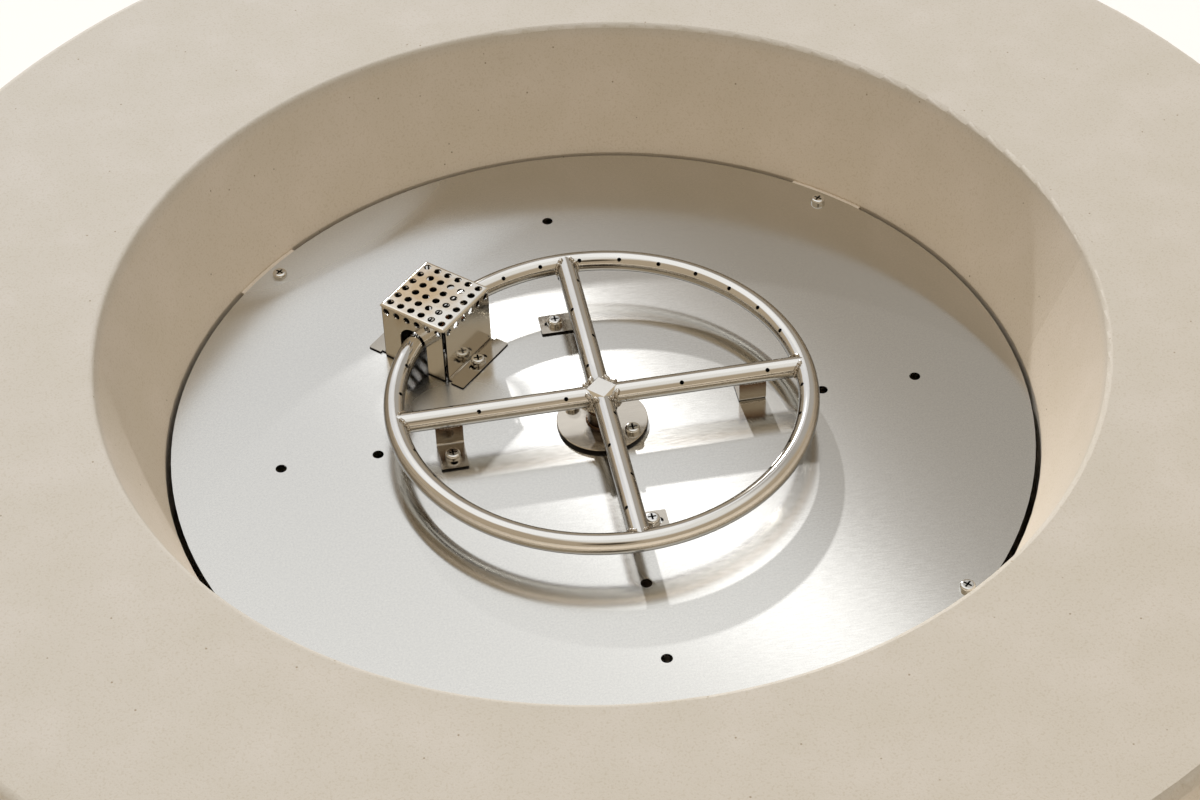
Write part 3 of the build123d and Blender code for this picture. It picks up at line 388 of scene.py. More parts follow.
# %% tubes
def round_lay(tree, coords):
    """Coordinates that run along the ring, so that its scratches follow the bend."""
    split = add(tree, "SeparateXYZ", {0: coords}).node.outputs
    bearing = add(tree, "Math", {0: split["Y"], 1: split["X"]}, operation="ARCTAN2")
    slow = add(tree, "Math", {0: bearing, 1: 0.006}, operation="MULTIPLY")
    flat = add(tree, "VectorMath", {0: coords, 1: (1, 1, 0)}, operation="MULTIPLY")
    reach = add(tree, "VectorMath", {0: flat}, "Value", operation="LENGTH")
    return add(tree, "CombineXYZ", {0: slow, 1: reach, 2: split["Z"]})


def straight_lay(stretch):
    """Coordinates drawn out along a straight piece."""
    return lambda tree, coords: add(tree, "Mapping", {"Vector": coords, "Scale": stretch})


tubes = {"burner_ring": round_lay}
for node in nodes:
    if node.startswith("spoke_"):
        tubes[node] = straight_lay((0.04, 1, 1) if node.endswith(("left", "right")) else (1, 0.04, 1))
# each tube also gets the painted dark reflection along its sides
for node, lay in tubes.items():
    tube = metal("polished " + node.replace("_", " "), TUBE_TONES, 0.11, 0.0009, spread=0.05, depth=0.00001, lay=lay)
    layer(tube, painted_edge_reflection, PAINTED_REFLECTION_TONE)
    cover(nodes[node], tube)
print("tubes", len(tubes))

# %% [markdown]
# Laser-cut edges
# The sheet of the feet and the flange was cut by laser, which leaves its edge black. The edge could be a second
# material on its own faces, but the solids come as one. So the mask takes the faces that stand upright, by their
# normal, below the height of the sheet's top.

# %% cut edges
# black of the cut edges, and the painted shade in the screws' recesses
SOOT_AND_SHADE = "1E1B18"


def where(tree, *limits):
    """1 where every value is on the right side: each is given with the place where it is 1 and where it is 0."""
    inside = 1.0
    for value, full, none in limits:
        part = add(tree, "MapRange", {0: value, 1: full, 2: none, 3: 1.0, 4: 0.0})
        inside = add(tree, "Math", {0: inside, 1: part}, operation="MULTIPLY")
    return inside


def cut_edge(top):
    """A mask of the upright faces below a height."""
    def mask(tree, coords):
        lean = add(tree, "SeparateXYZ", {0: add(tree, "NewGeometry", output="Normal")}, "Z")
        lean = add(tree, "Math", {0: lean}, operation="ABSOLUTE")
        height = add(tree, "SeparateXYZ", {0: coords}, "Z")
        return where(tree, (lean, 0.2, 0.6), (height, top, top + 0.0001))
    return mask


# Brushed sheet: strokes along +X, duller than the tubes.
flange_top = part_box("burner_flange")[1].z
flange = metal("brushed flange sheet", ("C6BFB3", "D0C9BD"), 0.21, 0.0010, spread=0.05, lay=straight_lay((0.05, 1, 1)))
layer(flange, cut_edge(flange_top - 0.0003), SOOT_AND_SHADE, 0.5)
cover(nodes["burner_flange"], flange)
print("cut edges up to", round(flange_top - 0.0003, 4))

# %% [markdown]
# Heat of welding
# Welding leaves a brown oxide beside the seam. It is strongest at the seam and fades with the distance, so a mask
# that grows with height browns the tabs of the feet, which are welded at their top, and one that grows downwards
# the gas pipe, which is welded at its bottom. The hub was linished bright afterwards and has none.

# %% heat colours
def rising(low, high):
    """A mask that grows from 0 at one height to 1 at another."""
    def mask(tree, coords):
        height = add(tree, "SeparateXYZ", {0: coords}, "Z")
        return add(tree, "MapRange", {0: height, 1: low, 2: high, 3: 0.0, 4: 1.0})
    return mask


# Folded sheet: bright below, brown at the tab, black on the cut edge that lies on the pan.
foot = metal("foot sheet with weld heat", ("BBB4A9", "C5BEB3"), 0.18, 0.0010)
layer(foot, rising(pan_z + 0.007, pan_z + 0.018), "6E4A2A")
layer(foot, cut_edge(pan_z + 0.0015), SOOT_AND_SHADE, 0.5)
feet = [node for node in nodes if node.startswith("burner_foot")]
for node in feet:
    cover(nodes[node], foot)

# Pipe as drawn, grey-brown, nearly black at the weld.
pipe = metal("pipe with weld heat", ("A89F92", "B4AB9F"), 0.22, 0.0010)
layer(pipe, rising(pan_z + 0.024, pan_z + 0.006), "2A1C12")
cover(nodes["inlet_pipe"], pipe)

# Linished steel: the palest and cleanest metal of the burner.
cover(nodes["burner_hub"], metal("linished hub", ("E8E4DC", "EDEAE3"), 0.14, 0.0008, spread=0.04))
print("heat on", len(feet), "feet and the pipe")

# %% [markdown]
# Painted shade in the screws' recesses
# The cross recess of each screw head is painted nearly black as its shade. The recess is cut in the solid, but the
# light that the room throws into it would leave it grey. The mask takes what is close to a screw's axis and below
# its top, so the axis and top of each screw are first found from the points of the mesh.

# %% recesses
HEAD_GAP = 0.012        # points closer than this to a screw's first point belong to it


def upright(node):
    """Axis and top of each upright screw of a node."""
    groups = []
    for vert in nodes[node].data.vertices:
        for group in groups:
            if (group[0].co.xy - vert.co.xy).length < HEAD_GAP:
                group.append(vert)
                break
        else:
            groups.append([vert])
    spots = []
    for group in groups:
        xs, ys = [v.co.x for v in group], [v.co.y for v in group]
        spots.append(((min(xs) + max(xs)) / 2, (min(ys) + max(ys)) / 2, max(v.co.z for v in group)))
    return spots


def recess(spots):
    """A mask of the cross recess of each screw, where its shade is painted."""
    def mask(tree, coords):
        flat = add(tree, "VectorMath", {0: coords, 1: (1, 1, 0)}, operation="MULTIPLY")
        near = None
        for x, y, top in spots:
            away = add(tree, "VectorMath", {0: flat, 1: (x, y, 0)}, "Value", operation="DISTANCE")
            near = add(tree, "Math", {0: near, 1: away}, operation="MINIMUM") if near else away
        height = add(tree, "SeparateXYZ", {0: coords}, "Z")
        return where(tree, (height, top - 0.0006, top - 0.0002), (near, 0.0033, 0.0034))
    return mask


print("top of the pan's screws", round(upright("pan_screws")[0][2], 4))

# %% [markdown]
# Heads of the screws
# The four sets of upright screws are cold-formed and bright. Each set has its own height, so each gets its own
# finish with its own mask.

# %% screw heads
# each set gets its painted recess shade
for node in ("pan_screws", "foot_screws", "flange_screws", "pilot_box_screws"):
    spots = upright(node)
    head = metal(node.replace("_", " ") + " with painted recess shade", ("D6D4CF", "DEDCD7"), 0.13, 0.0008)
    layer(head, recess(spots), SOOT_AND_SHADE, 0.5)
    cover(nodes[node], head)
    print(node, len(spots))

# %% [markdown]
# Sheet of the pilot box
# The box is bright sheet. Low down, where it mirrors the pan, its colour is painted darker as that
# reflection, and above it is paler. It is the piece nearest the flame, so it gets two layers more: a straw tint on
# its top, and painted shade inside.

# %% pilot box sheet
box_low, box_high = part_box("pilot_box")
box_x, box_y = (box_low.x + box_high.x) / 2, (box_low.y + box_high.y) / 2

# Bright stainless sheet: clear reflections with a silky grain.
box_sheet, tree, shader, coords = finish("pilot box sheet", {"Metallic": 1.0})
scratch = grain(tree, coords, 0.0010, 3)
# painted reflection: darker below 1.5 mm, where the sheet mirrors the pan
above_painted_reflection = rising(pan_z + 0.0015, pan_z + 0.004)(tree, coords)
tone = add(tree, "MixRGB", {0: above_painted_reflection, 1: linear("B4ADA1"), 2: linear("E6E2D9")})
shine = add(tree, "MapRange", {0: scratch, 1: 0.3, 2: 0.7, 3: 0.09, 4: 0.17})
skin = add(tree, "Bump", {"Height": scratch, "Distance": 0.00001, "Strength": 1.0})
join(shader, {"Base Color": tone, "Roughness": shine, "Normal": skin})
print("pilot box top", round(box_high.z, 4))

# %% [markdown]
# Straw tint
# The flame under the box has coloured the left of its top like straw. The tint is a spot that fades over about
# 3 cm, and noise of 10 mm moves its border in and out, because heat never leaves a clean circle.

# %% straw tint
def straw(tree, coords):
    """0.9 in the middle of the flame's spot, 0 from its ragged border on."""
    flame = (box_x - 0.0074, box_y + 0.0105, box_high.z)
    near = add(tree, "VectorMath", {0: coords, 1: flame}, "Value", operation="DISTANCE")
    ragged = add(tree, "MapRange", {0: grain(tree, coords, 0.010, 3), 1: 0.3, 2: 0.7, 3: -0.007, 4: 0.007})
    reach = add(tree, "Math", {0: near, 1: ragged}, operation="ADD")
    return add(tree, "MapRange", {0: reach, 1: 0.010, 2: 0.038, 3: 0.9, 4: 0.0})


layer(box_sheet, straw, "C6AC87")
print("straw spot at", round(box_x - 0.0074, 4), round(box_y + 0.0105, 4))

# %% [markdown]
# Painted shade in the pilot box
# Inside and in its corner slits the box is painted black as shade, and its cut edges are black. The box is turned on
# the pan, so a Mapping node first gives the coordinates of the box's own sides. What lies further in than the
# sheet's middle is inside.

# %% painted shade in the box
PILOT_HALF = 0.0286      # half of the pilot box's width
PILOT_TURN = 316.0       # its own +X, degrees from the bowl's


def inner_shade_and_edges(tree, coords):
    """1 inside the box and in its corner slits, where shade is painted, and on its cut edges."""
    own = {"Vector": coords, "Location": (box_x, box_y, 0), "Rotation": (0, 0, radians(PILOT_TURN))}
    place = add(tree, "VectorMath", {0: add(tree, "Mapping", own, vector_type="TEXTURE")}, operation="ABSOLUTE")
    split = add(tree, "SeparateXYZ", {0: place}).node.outputs
    wide = add(tree, "Math", {0: split["X"], 1: split["Y"]}, operation="MAXIMUM")
    narrow = add(tree, "Math", {0: split["X"], 1: split["Y"]}, operation="MINIMUM")
    inner = where(tree, (wide, PILOT_HALF - 0.0011, PILOT_HALF - 0.0006),
                  (split["Z"], box_high.z - 0.0011, box_high.z - 0.0006))
    slit = where(tree, (narrow, PILOT_HALF - 0.0022, PILOT_HALF - 0.0023),
                 (wide, PILOT_HALF - 0.0001, PILOT_HALF), (split["Z"], box_high.z - 0.004, box_high.z - 0.003))
    edge = cut_edge(pan_z + 0.0011)(tree, coords)
    black = add(tree, "Math", {0: inner, 1: edge}, operation="MAXIMUM")
    return add(tree, "Math", {0: black, 1: slit}, operation="MAXIMUM")


# painted shade inside the box and in its slits, black on its cut edges
layer(box_sheet, inner_shade_and_edges, "1C1815", 0.6)
cover(nodes["pilot_box"], box_sheet)
print("pilot box nodes", len(box_sheet.node_tree.nodes))

# %% [markdown]
# Seam of a spoke on the ring
# The burner is welded by hand, and its lumpy beads show best how it was made. Where two tubes of one size meet,
# the seam is a saddle: sunk on both sides of the spoke, and running out over the crown where the tubes are flush.
# A ready-made curve doesn't follow it, so its points come from the two radii.

# %% saddle seam
ring_low, ring_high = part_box("burner_ring")
tube_r = (ring_high.z - ring_low.z) / 2
tube_z = (ring_high.z + ring_low.z) / 2
ring_r = (ring_high.x - ring_low.x) / 2 - tube_r
SADDLE_POINTS = 40


def saddle(side, start, end, fill):
    """Seam of the right-hand spoke on the ring, from one angle about the spoke to another."""
    points = []
    for i in range(SADDLE_POINTS + 1):
        turn = radians(start + (end - start) * i / SADDLE_POINTS)
        c, s = cos(turn), sin(turn)
        x = sqrt((ring_r - tube_r * c) ** 2 - (tube_r * c) ** 2)
        out = Vector((-c, side * c, 2 * s)).normalized()
        points.append(Vector((x, side * tube_r * c, tube_z + tube_r * s)) + out * fill)
    return points


ring_seams = [saddle(side, -75, 72, 0.0006) for side in (-1, 1)]
print("ring radius", round(ring_r, 4), "tube radius", round(tube_r, 4))

# %% [markdown]
# Drops of a bead
# A welder adds metal drop by drop, so a bead is thick at each drop and thin between, no two drops are alike, and
# its ends are round. A tube of one thickness swept along the seam would look moulded. So the seam is walked in
# small even steps, and each point gets a radius of its own.

# %% drops
POINTS_A_DROP = 6


def walk(path, step):
    """Points a step apart along a path."""
    points, left = [Vector(path[0])], step
    for start, end in zip(path, path[1:]):
        run = (end - start).length
        while run > left:
            start = start + (end - start) * (left / run)
            points.append(start)
            run -= left
            left = step
        left -= run
    return points


def drops(count, radius, pitch, bead_number):
    """Radius at each point of a bead: a drop every pitch, uneven, and rounded at both ends."""
    length = (count - 1) * pitch / POINTS_A_DROP
    radii = []
    for i in range(count):
        s = i * pitch / POINTS_A_DROP
        uneven = noise.noise(Vector((round(s / pitch) * 1.7, bead_number * 3.3, radius * 900)))
        thick = radius * (0.80 + 0.20 * abs(cos(pi * s / pitch)) + 0.16 * uneven)
        end = min(s, length - s) / radius
        if end < 1:
            thick *= sqrt(max(0.04, 1 - (1 - end) ** 2))
        radii.append(thick)
    return radii


print("points on a ring seam", len(walk(ring_seams[0], 0.0026 / POINTS_A_DROP)))

# %% [markdown]
# A rod along a path
# Blender's curves can be given a round bevel, but they twist where a seam turns sharply. A rod built ring by ring
# from a direction that is carried along the path doesn't twist. The same rod serves the beads and the corrugated
# gas connector.

# %% rod
def rod(points, radii, around, first=0):
    """Rings of vertices about a path, with faces between them and at both ends, counted from first."""
    verts, faces, across = [], [], Vector((0.31, 0.27, 0.91))
    last = len(points) - 1
    for i, (point, radius) in enumerate(zip(points, radii)):
        along = (points[min(i + 1, last)] - points[max(i - 1, 0)]).normalized()
        across = (across - along * across.dot(along)).normalized()
        other = along.cross(across)
        for j in range(around):
            turn = 2 * pi * j / around
            verts.append(point + (across * cos(turn) + other * sin(turn)) * radius)
    rings = [[first + i * around + j for j in range(around)] for i in range(last + 1)]
    for a, b in zip(rings, rings[1:]):
        faces += [(a[j], a[(j + 1) % around], b[(j + 1) % around], b[j]) for j in range(around)]
    return verts, faces + [rings[0][::-1], rings[-1]]


print("faces of a short rod", len(rod([Vector((0, 0, 0)), Vector((0, 0, 1))], (1, 1), 10)[1]))

# %% [markdown]
# Metal of the welds
# A clean weld is bright on its drops and straw to brown between them, where air reached the hot metal. Noise of
# 1.2 mm, about half a drop, gives both the colour and a rough skin. The welds at the pipe were overheated and are
# nearly black.

# %% weld metal
# Weld metal as it froze: wet-looking highlights on dark, uneven ground.
weld_metal, tree, shader, coords = finish("weld metal", {"Metallic": 1.0})
frozen = grain(tree, coords, 0.0012, 3)
tone = add(tree, "ValToRGB", {0: frozen}, stops=[(0.34, "7A6A58"), (0.48, "BDB6AB"), (0.66, "E2DED7")])
shine = add(tree, "MapRange", {0: frozen, 1: 0.3, 2: 0.7, 3: 0.12, 4: 0.34})
skin = add(tree, "Bump", {"Height": frozen, "Distance": 0.00006, "Strength": 1.0})
join(shader, {"Base Color": tone, "Roughness": shine, "Normal": skin})
burnt_metal = metal("burnt weld metal", ("3A2A1E", "5E4630"), 0.38, 0.0014, depth=0.00006)
print("finishes", weld_metal.name, "and", burnt_metal.name)

# %% [markdown]
# A new piece
# Every new piece ends alike: points that lie on each other are merged, its faces are turned outwards, and it gets
# its name, its material and the body that it rides on. It keeps its place in its mesh, and its object stays at the
# origin, so that patterns on Object coordinates stay where they are.

# %% a new piece
MERGE = 1e-6            # points closer than this, in metres, are one


def settle(made, name, material, body="bowl", smooth=True):
    """Finish a modelled piece: doubles merged, faces outward, and its name, material and body given."""
    made.name = made.data.name = name
    shape = bmesh.new()
    shape.from_mesh(made.data)
    bmesh.ops.remove_doubles(shape, verts=shape.verts, dist=MERGE)
    bmesh.ops.recalc_face_normals(shape, faces=shape.faces)
    for face in shape.faces:
        face.smooth = smooth
    shape.to_mesh(made.data)
    shape.free()
    made.data.materials.append(material)
    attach(made, body)
    return made


def placed(name, mesh):
    """A new object of a mesh, in the scene."""
    made = bpy.data.objects.new(name, mesh)
    bpy.context.scene.collection.objects.link(made)
    return made


print("points merge within", MERGE * 1000, "mm")

# %% [markdown]
# Beads of one joint
# The right-hand spoke has one bead on each side. A bead is a rod along the seam with the radii of its drops, and
# both beads go into one mesh, because they are one piece of work.

# %% beads of one joint
def bead(name, paths, radius, pitch, material=weld_metal, around=10):
    """Weld beads along paths, as one piece."""
    verts, faces = [], []
    for number, path in enumerate(paths):
        points = walk(path, pitch / POINTS_A_DROP)
        new_verts, new_faces = rod(points, drops(len(points), radius, pitch, number), around, len(verts))
        verts, faces = verts + new_verts, faces + new_faces
    mesh = bpy.data.meshes.new(name)
    mesh.from_pydata(verts, [], faces)
    return settle(placed(name, mesh), name, material)


joint = bead("weld_ring_right", ring_seams, 0.0015, 0.0026)
print("joint", len(joint.data.vertices), "points", len(joint.data.polygons), "faces")

# %% [markdown]
# Beads where the spokes meet the ring
# The other three joints are alike. They could be modelled again, but it is quicker and surer to copy the first,
# each copy with its own mesh turned about the middle of the bowl.

# %% ring welds
def copied(source, name, move):
    """A copy of a piece with its own mesh, moved by a matrix."""
    copy = placed(name, source.data.copy())
    copy.data.name = name
    copy.data.transform(move)
    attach(copy, "bowl")
    return copy


for side, bearing in (("back", 90), ("left", 180), ("front", 270)):
    copied(joint, "weld_ring_" + side, Matrix.Rotation(radians(bearing), 4, "Z"))

# %% [markdown]
# Beads at the hub
# Each spoke meets the slanted faces of the hub, and the beads of two neighbours run together in the valley
# between them. The seam of one spoke on one face is worked out once and turned to the others.

# %% hub welds
hub_low, hub_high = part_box("burner_hub")
hub_r = (hub_high.x - hub_low.x) / 2
VALLEY_POINTS = 30


def valley(bearing, side):
    """Seam of one spoke on a slanted face of the hub."""
    points = []
    for i in range(VALLEY_POINTS + 1):
        turn = radians(62 - 130 * i / VALLEY_POINTS)
        c, s = cos(turn), sin(turn)
        out = Vector((0.7, side * (0.7 + c), s)).normalized()
        points.append(Vector((hub_r - tube_r * c, side * tube_r * c, tube_z + tube_r * s)) + out * 0.0008)
    spin = Matrix.Rotation(radians(bearing), 3, "Z")
    return [spin @ point for point in points]


hub_seams = [valley(bearing, side) for bearing in (0, 90, 180, 270) for side in (-1, 1)]
hub_weld = bead("weld_hub", hub_seams, 0.0021, 0.0033)
print("hub welds", len(hub_seams), "seams", len(hub_weld.data.polygons), "faces")

# %% [markdown]
# Beads round the gas pipe
# A rougher fillet closes the hub's foot on the pipe and the pipe on its flange. Both seams are circles. The second
# starts elsewhere, so that the two ends don't lie above each other.

# %% pipe welds
pipe_low, pipe_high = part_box("inlet_pipe")
pipe_r = (pipe_high.x - pipe_low.x) / 2


def circle(radius, z, start=0.0):
    """A closed round path about the middle of the bowl."""
    return [Vector((radius * cos(a), radius * sin(a), z)) for a in (start + 2 * pi * i / 72 for i in range(73))]


pipe_seams = [circle(pipe_r, flange_top + 0.0002), circle(pipe_r - 0.0002, hub_low.z - 0.0002, 1.0)]
pipe_weld = bead("weld_pipe", pipe_seams, 0.0012, 0.0031, burnt_metal)
print("pipe radius", round(pipe_r, 4), "weld", len(pipe_weld.data.polygons), "faces")

# %% [markdown]
# Beads on the feet
# Each foot's tab is welded along its top edge to the under side of the spoke, on both faces. The feet don't all
# stand at the same distance, so each seam is measured on its own foot.

# %% foot welds
for side, bearing in (("right", 0), ("back", 90), ("left", 180), ("front", 270)):
    low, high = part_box("burner_foot_" + side)
    back_turn = Matrix.Rotation(radians(-bearing), 3, "Z")
    corners = [back_turn @ Vector((x, y, 0)) for x in (low.x, high.x) for y in (low.y, high.y)]
    near, far = min(c.x for c in corners), max(c.x for c in corners)
    z = high.z - 0.0003
    spin = Matrix.Rotation(radians(bearing), 3, "Z")
    foot_seams = [[spin @ Vector((x, k * 0.0017, z)) for x in (near + 0.002, far - 0.002)] for k in (-1, 1)]
    bead("weld_foot_" + side, foot_seams, 0.0011, 0.0022)
    print("foot weld", side, "from", round(near, 4), "to", round(far, 4))

# %% [markdown]
# Folds of the pilot box's flanges
# The flanges are bent out from the sides of the box, so a small hollow round stands in each corner between side
# and flange, which shows as a bright line. By hand it is a square strip with a cylinder cut out of it. One strip
# is made at the box's own +X, placed, and copied to the other side.

# %% flange folds
FOLD_R = 0.0011
fold_run = PILOT_HALF - 0.0026          # half of the fold's length
fold_z = pan_z + 0.0012
bpy.ops.object.select_all(action="DESELECT")
bpy.ops.mesh.primitive_cylinder_add(vertices=24, radius=FOLD_R, depth=4 * fold_run, calc_uvs=False,
                                    location=(PILOT_HALF + FOLD_R, 0, fold_z + FOLD_R), rotation=(pi / 2, 0, 0))
cutter = bpy.context.object
bpy.ops.mesh.primitive_cube_add(size=1, calc_uvs=False, location=(PILOT_HALF + FOLD_R / 2, 0, fold_z + FOLD_R / 2),
                                scale=(FOLD_R, 2 * fold_run, FOLD_R))
bpy.ops.object.transform_apply(location=True, rotation=True, scale=True)
fold = bpy.context.object
cut = fold.modifiers.new("hollow", "BOOLEAN")
cut.operation, cut.object = "DIFFERENCE", cutter
bpy.ops.object.modifier_apply(modifier="hollow")
bpy.data.objects.remove(cutter)

on_pan = Matrix.Translation((box_x, box_y, 0)) @ Matrix.Rotation(radians(PILOT_TURN), 4, "Z")
fold.data.transform(on_pan)
settle(fold, "pilot_fold_inner", box_sheet)
half_turn = on_pan @ Matrix.Rotation(pi, 4, "Z") @ on_pan.inverted()
copied(fold, "pilot_fold_outer", half_turn)
print("folds", len(fold.data.vertices), "points", len(fold.data.polygons), "faces")

# %% [markdown]
# Gas connector
# The flexible connector under the pan is a corrugated stainless tube. The solid is its plain core, and this is
# its skin: the same route with round bends, and a radius that swings up and down once every 4 mm.

# %% corrugation
def rounded(points, radius, step):
    """A route with its corners rounded to a radius, as points a step apart."""
    points = [Vector(p) for p in points]
    path = [points[0]]
    for before, corner, after in zip(points, points[1:], points[2:]):
        come, go = (corner - before).normalized(), (after - corner).normalized()
        reach = radius * (come.angle(go) / 2)
        start, end = corner - come * reach, corner + go * reach
        for i in range(13):
            t = i / 12
            path.append(start * (1 - t) ** 2 + corner * 2 * t * (1 - t) + end * t * t)
    path.append(points[-1])
    return walk(path, step)


RIDGE_R, VALLEY_R, RIDGE_PITCH = 0.0092, 0.0083, 0.0040
hose_route = [(0.0, -0.060, 0.252), (0.0, -0.10005, 0.252), (0.0118, -0.18048, 0.22406), (0.0298, -0.26985, 0.20946),
              (0.0401, -0.35029, 0.21602), (0.040, -0.39795, 0.230), (0.040, -0.418, 0.230)]
hose_path = rounded(hose_route, 0.060, 0.0008)
run, hose_radii = 0.0, []
for before, point in zip(hose_path[:1] + hose_path, hose_path):
    run += (point - before).length
    hose_radii.append(VALLEY_R + (RIDGE_R - VALLEY_R) * (0.5 - 0.5 * cos(2 * pi * run / RIDGE_PITCH)))
mesh = bpy.data.meshes.new("connector_corrugation")
verts, faces = rod(hose_path, hose_radii, 20)
mesh.from_pydata(verts, [], faces)
settle(placed("connector_corrugation", mesh), "connector_corrugation", finishes["corrugated_steel"])
print("corrugated run", round(run, 3), "m,", len(faces), "faces")

# %% [markdown]
# Threads
# The inlet fitting and the bottom of the gas pipe are threaded. A thread is a thin ridge wound round the solid. By
# hand, a circle of three points is its section, pointing outwards and stretched to the pitch, and a Screw modifier
# winds it. Its two ends are then closed.

# %% threads
STEPS_A_TURN = 24
RIDGE = 0.0006          # the section's tip stands this far out, and its base half of it in


def thread(name, middle, low, high, radius, pitch, material):
    """A ridge wound about an upright axis."""
    turns = (high - low) / pitch
    bpy.ops.object.select_all(action="DESELECT")
    bpy.ops.mesh.primitive_circle_add(vertices=3, radius=RIDGE, calc_uvs=False, location=(radius, 0, 0),
                                      rotation=(pi / 2, pi / 2, 0))
    ridge = bpy.context.object
    ridge.scale.x = 0.36 * pitch / (RIDGE * sqrt(3) / 2)
    bpy.ops.object.transform_apply(location=True, rotation=True, scale=True)
    wind = ridge.modifiers.new("wind", "SCREW")
    wind.angle, wind.screw_offset = 2 * pi * turns, high - low
    wind.steps = wind.render_steps = int(STEPS_A_TURN * turns)
    bpy.ops.object.modifier_apply(modifier="wind")
    bpy.ops.object.mode_set(mode="EDIT")
    bpy.ops.mesh.select_all(action="SELECT")
    bpy.ops.mesh.fill_holes(sides=3)
    bpy.ops.object.mode_set(mode="OBJECT")
    ridge.data.transform(Matrix.Translation((middle[0], middle[1], low)))
    return settle(ridge, name, material, smooth=False)


inlet_low, inlet_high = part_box("inlet_fitting")
inlet_axis = ((inlet_low.x + inlet_high.x) / 2, (inlet_low.y + inlet_high.y) / 2)
inlet_thread = thread("inlet_thread", inlet_axis, inlet_low.z + 0.0015, inlet_low.z + 0.0135, 0.0079, 0.0016,
                      finishes["brass"])
pipe_thread = thread("pipe_thread", (0, 0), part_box("air_mixer")[1].z + 0.001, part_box("pipe_lock_nut")[0].z - 0.001,
                     pipe_r, 0.0018, pipe)
print("threads", len(inlet_thread.data.polygons), "and", len(pipe_thread.data.polygons), "faces")

# %% [markdown]
# Paint in the knob's pointer
# The groove on the knob's face is filled with white paint, so that the setting can be read. By hand it is a thin
# plate whose four upright corners are bevelled like the groove's. The bevel is as deep as it is wide, so it is
# made on a narrower plate, which is then widened a little.

# %% pointer paint
knob_low, knob_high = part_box("control_knob")
x, z, y = (knob_low.x + knob_high.x) / 2, (knob_low.z + knob_high.z) / 2, knob_low.y
PAINT_WIDTH, PAINT_DEPTH, PAINT_LENGTH = 0.0012, 0.0004, 0.0124
bpy.ops.object.select_all(action="DESELECT")
bpy.ops.mesh.primitive_cube_add(size=1, calc_uvs=False, location=(x, y + 0.00035, z + 0.0083),
                                scale=(PAINT_WIDTH, PAINT_DEPTH, PAINT_LENGTH))
bpy.ops.object.transform_apply(location=True, rotation=True, scale=True)
pointer = bpy.context.object
bpy.ops.object.mode_set(mode="EDIT")
bpy.ops.mesh.select_mode(type="EDGE")
bpy.ops.mesh.select_all(action="DESELECT")
work = bmesh.from_edit_mesh(pointer.data)
for edge in work.edges:
    edge.select_set(abs(edge.verts[0].co.y - edge.verts[1].co.y) > PAINT_DEPTH / 2)
bmesh.update_edit_mesh(pointer.data)
bpy.ops.mesh.bevel(offset=0.0003, segments=1)
bpy.ops.mesh.select_all(action="SELECT")
bpy.ops.transform.resize(value=(7 / 6, 1, 1), center_override=(x, y, z))
bpy.ops.object.mode_set(mode="OBJECT")

# Enamel paint: clean white with a low shine.
paint = moulded("white pointer paint", ("E9E7E1", "F2F0EB"), 0.45, 0.0010, 0.00002)
settle(pointer, "knob_pointer_paint", paint, "knob", False)
print("pointer paint", len(pointer.data.polygons), "faces")

# %% [markdown]
# Floor
# The bowl stands on a plain pale floor. A large plane catches its shadow. It belongs to the stage and not to the
# object.

# %% floor
bpy.ops.object.select_all(action="DESELECT")
bpy.ops.mesh.primitive_plane_add(size=18.0, calc_uvs=False)
floor = bpy.context.object
floor.name = floor.data.name = "floor"
# Matt white paint: it shows the shadow and nothing else.
floor_finish = finish("pale studio floor", {"Roughness": 0.9, "Base Color": linear("FFFFFF")})[0]
floor.data.materials.append(floor_finish)
print("floor", floor.dimensions.x, "m wide")

# %% [markdown]
# What the metal mirrors
# The pan and the tubes show the room they stood in: warm walls, a large white panel behind on the left with its
# lower right corner cut off, light overhead, and the dark of the camera. Modelled panels could do it, but soft
# round patches on the world, each given by a direction and two angles, are quicker to place and have no noise.

# %% dome
world = bpy.data.worlds.new("studio")
bpy.context.scene.world = world
world.use_nodes = True
tree = world.node_tree
tree.nodes.clear()
sky = add(tree, "TexCoord", output="Generated")


def aim(azimuth, elevation):
    """Direction from the bowl to a light, +Y being 90 degrees."""
    a, e = radians(azimuth), radians(elevation)
    return Vector((cos(a) * cos(e), sin(a) * cos(e), sin(e)))


dome = linear("BFAF97")                                 # the warm room
for azimuth, elevation, inner, outer, code, level in (
        (50, 45, 10, 32, "B8B4AE", 1.0),                # plainer on the right
        (-97, 43, 4, 13, "4A4034", 1.0),                # the dark of the camera itself
        (-20, 78, 22, 36, "F6F5F2", 1.1),               # broad light overhead
        (112, 45, 25, 27.5, "FBFCFF", 0.97),            # white panel behind, on the left
        (115, 68, 21, 29, "FDFEFF", 1.22),              # brighter towards its top
        (77, 51, 4.2, 6.2, "FDFEFF", 1.25),             # a second bright end on the right
        (77, 30, 10.2, 12.2, "ACA397", 1.0)):           # the lower right corner is cut off
    near = add(tree, "VectorMath", {0: sky, 1: aim(azimuth, elevation)}, "Value", operation="DOT_PRODUCT")
    inside = add(tree, "MapRange", {0: near, 1: cos(radians(outer)), 2: cos(radians(inner)), 3: 0.0, 4: 1.0})
    glow = tuple(c * level for c in linear(code)[:3]) + (1.0,)
    dome = add(tree, "MixRGB", {0: inside, 1: dome, 2: glow})
print("dome nodes", len(tree.nodes))

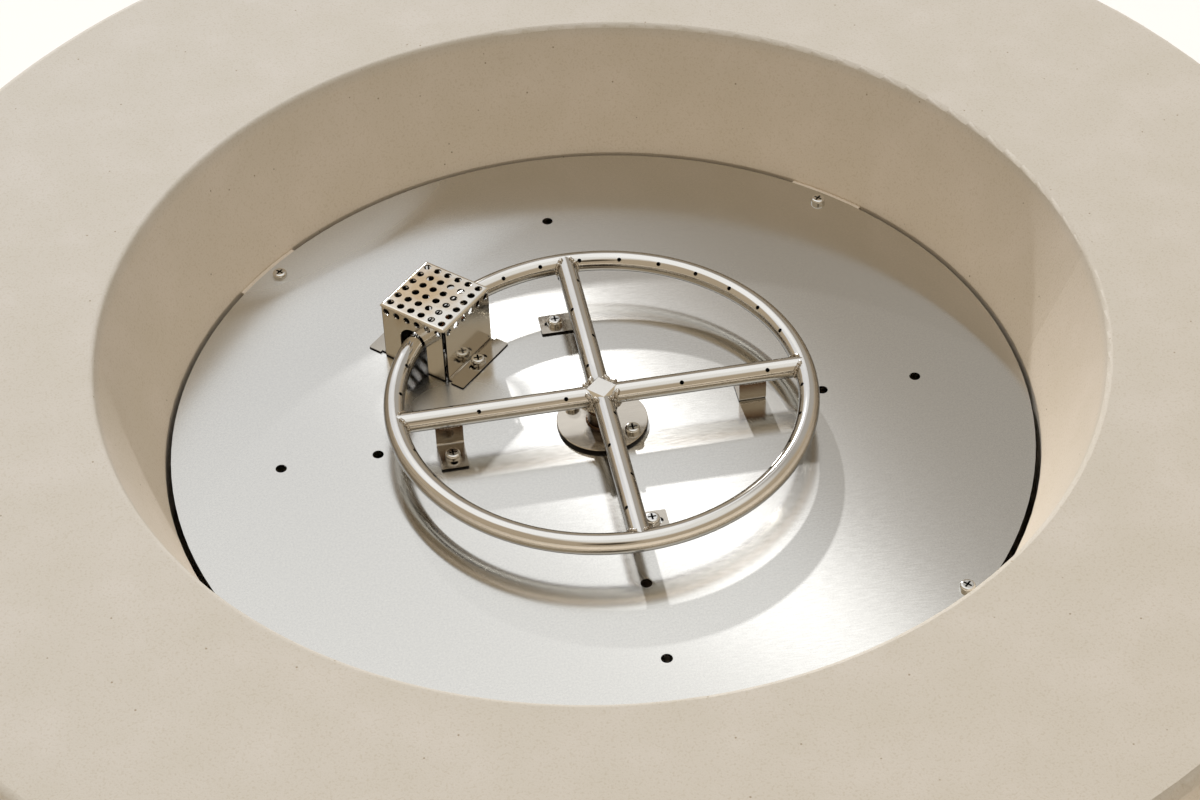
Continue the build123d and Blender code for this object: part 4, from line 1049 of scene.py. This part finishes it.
# %% [markdown]
# White behind the bowl
# The camera itself sees plain white. Light Path's Is Camera Ray gives it that, while everything else is lit by
# the dome. Reflections are left to the dome too, because the real steel mirrors the warm room.

# %% backdrop
soft = add(tree, "Background", {0: dome, 1: 1.0})
white = add(tree, "Background", {0: (1, 1, 1, 1), 1: 1.0})
seen = add(tree, "LightPath", output="Is Camera Ray")
backdrop = add(tree, "MixShader", {0: seen, 1: soft, 2: white})
add(tree, "OutputWorld", {0: backdrop})
print("world nodes", len(tree.nodes))

# %% [markdown]
# Key light
# One clear light stands behind the bowl, 25 degrees up, and throws the shadows of the rim and the ring towards the
# camera. They are nearly parallel and have a narrow soft edge, so it is a sun lamp with a small angle.

# %% key light
key = bpy.data.objects.new("key", bpy.data.lights.new("key", "SUN"))
key.data.energy = 2.15
key.data.angle = radians(1.2)
key.data.color = linear("FBFCFF")[:3]
key.rotation_euler = aim(94.0, 25.6).to_track_quat("Z", "Y").to_euler()
bpy.context.scene.collection.objects.link(key)
print("key light", key.data.energy)

# %% [markdown]
# Camera
# Solved from the photograph's circles: 43 degrees down, 2.03 m from the pan, a long lens and a small roll.

# %% camera
def look(target, azimuth, elevation, distance, roll):
    """Place of a camera that looks at target, azimuth 0 looking along +Y, rolled about its axis."""
    a, e = radians(azimuth), radians(elevation)
    back = Vector((sin(a) * cos(e), -cos(a) * cos(e), sin(e)))
    turn = back.to_track_quat("Z", "Y").to_matrix() @ Matrix.Rotation(radians(roll), 3, "Z")
    return Matrix.Translation(Vector(target) + back * distance) @ turn.to_4x4()


camera = bpy.data.objects.new("camera", bpy.data.cameras.new("camera"))
camera.data.sensor_width = 36.0
camera.data.lens = 84.817
camera.data.clip_end = 50.0
camera.matrix_world = look((0.0026, 0.0227, 0.353), -9.3, 43.039, 2.0313, -1.868)
bpy.context.scene.collection.objects.link(camera)
bpy.context.scene.camera = camera
bpy.context.scene.view_settings.view_transform = "Standard"
bpy.context.scene.view_settings.look = "None"
print("camera at", [round(c, 3) for c in camera.matrix_world.translation])
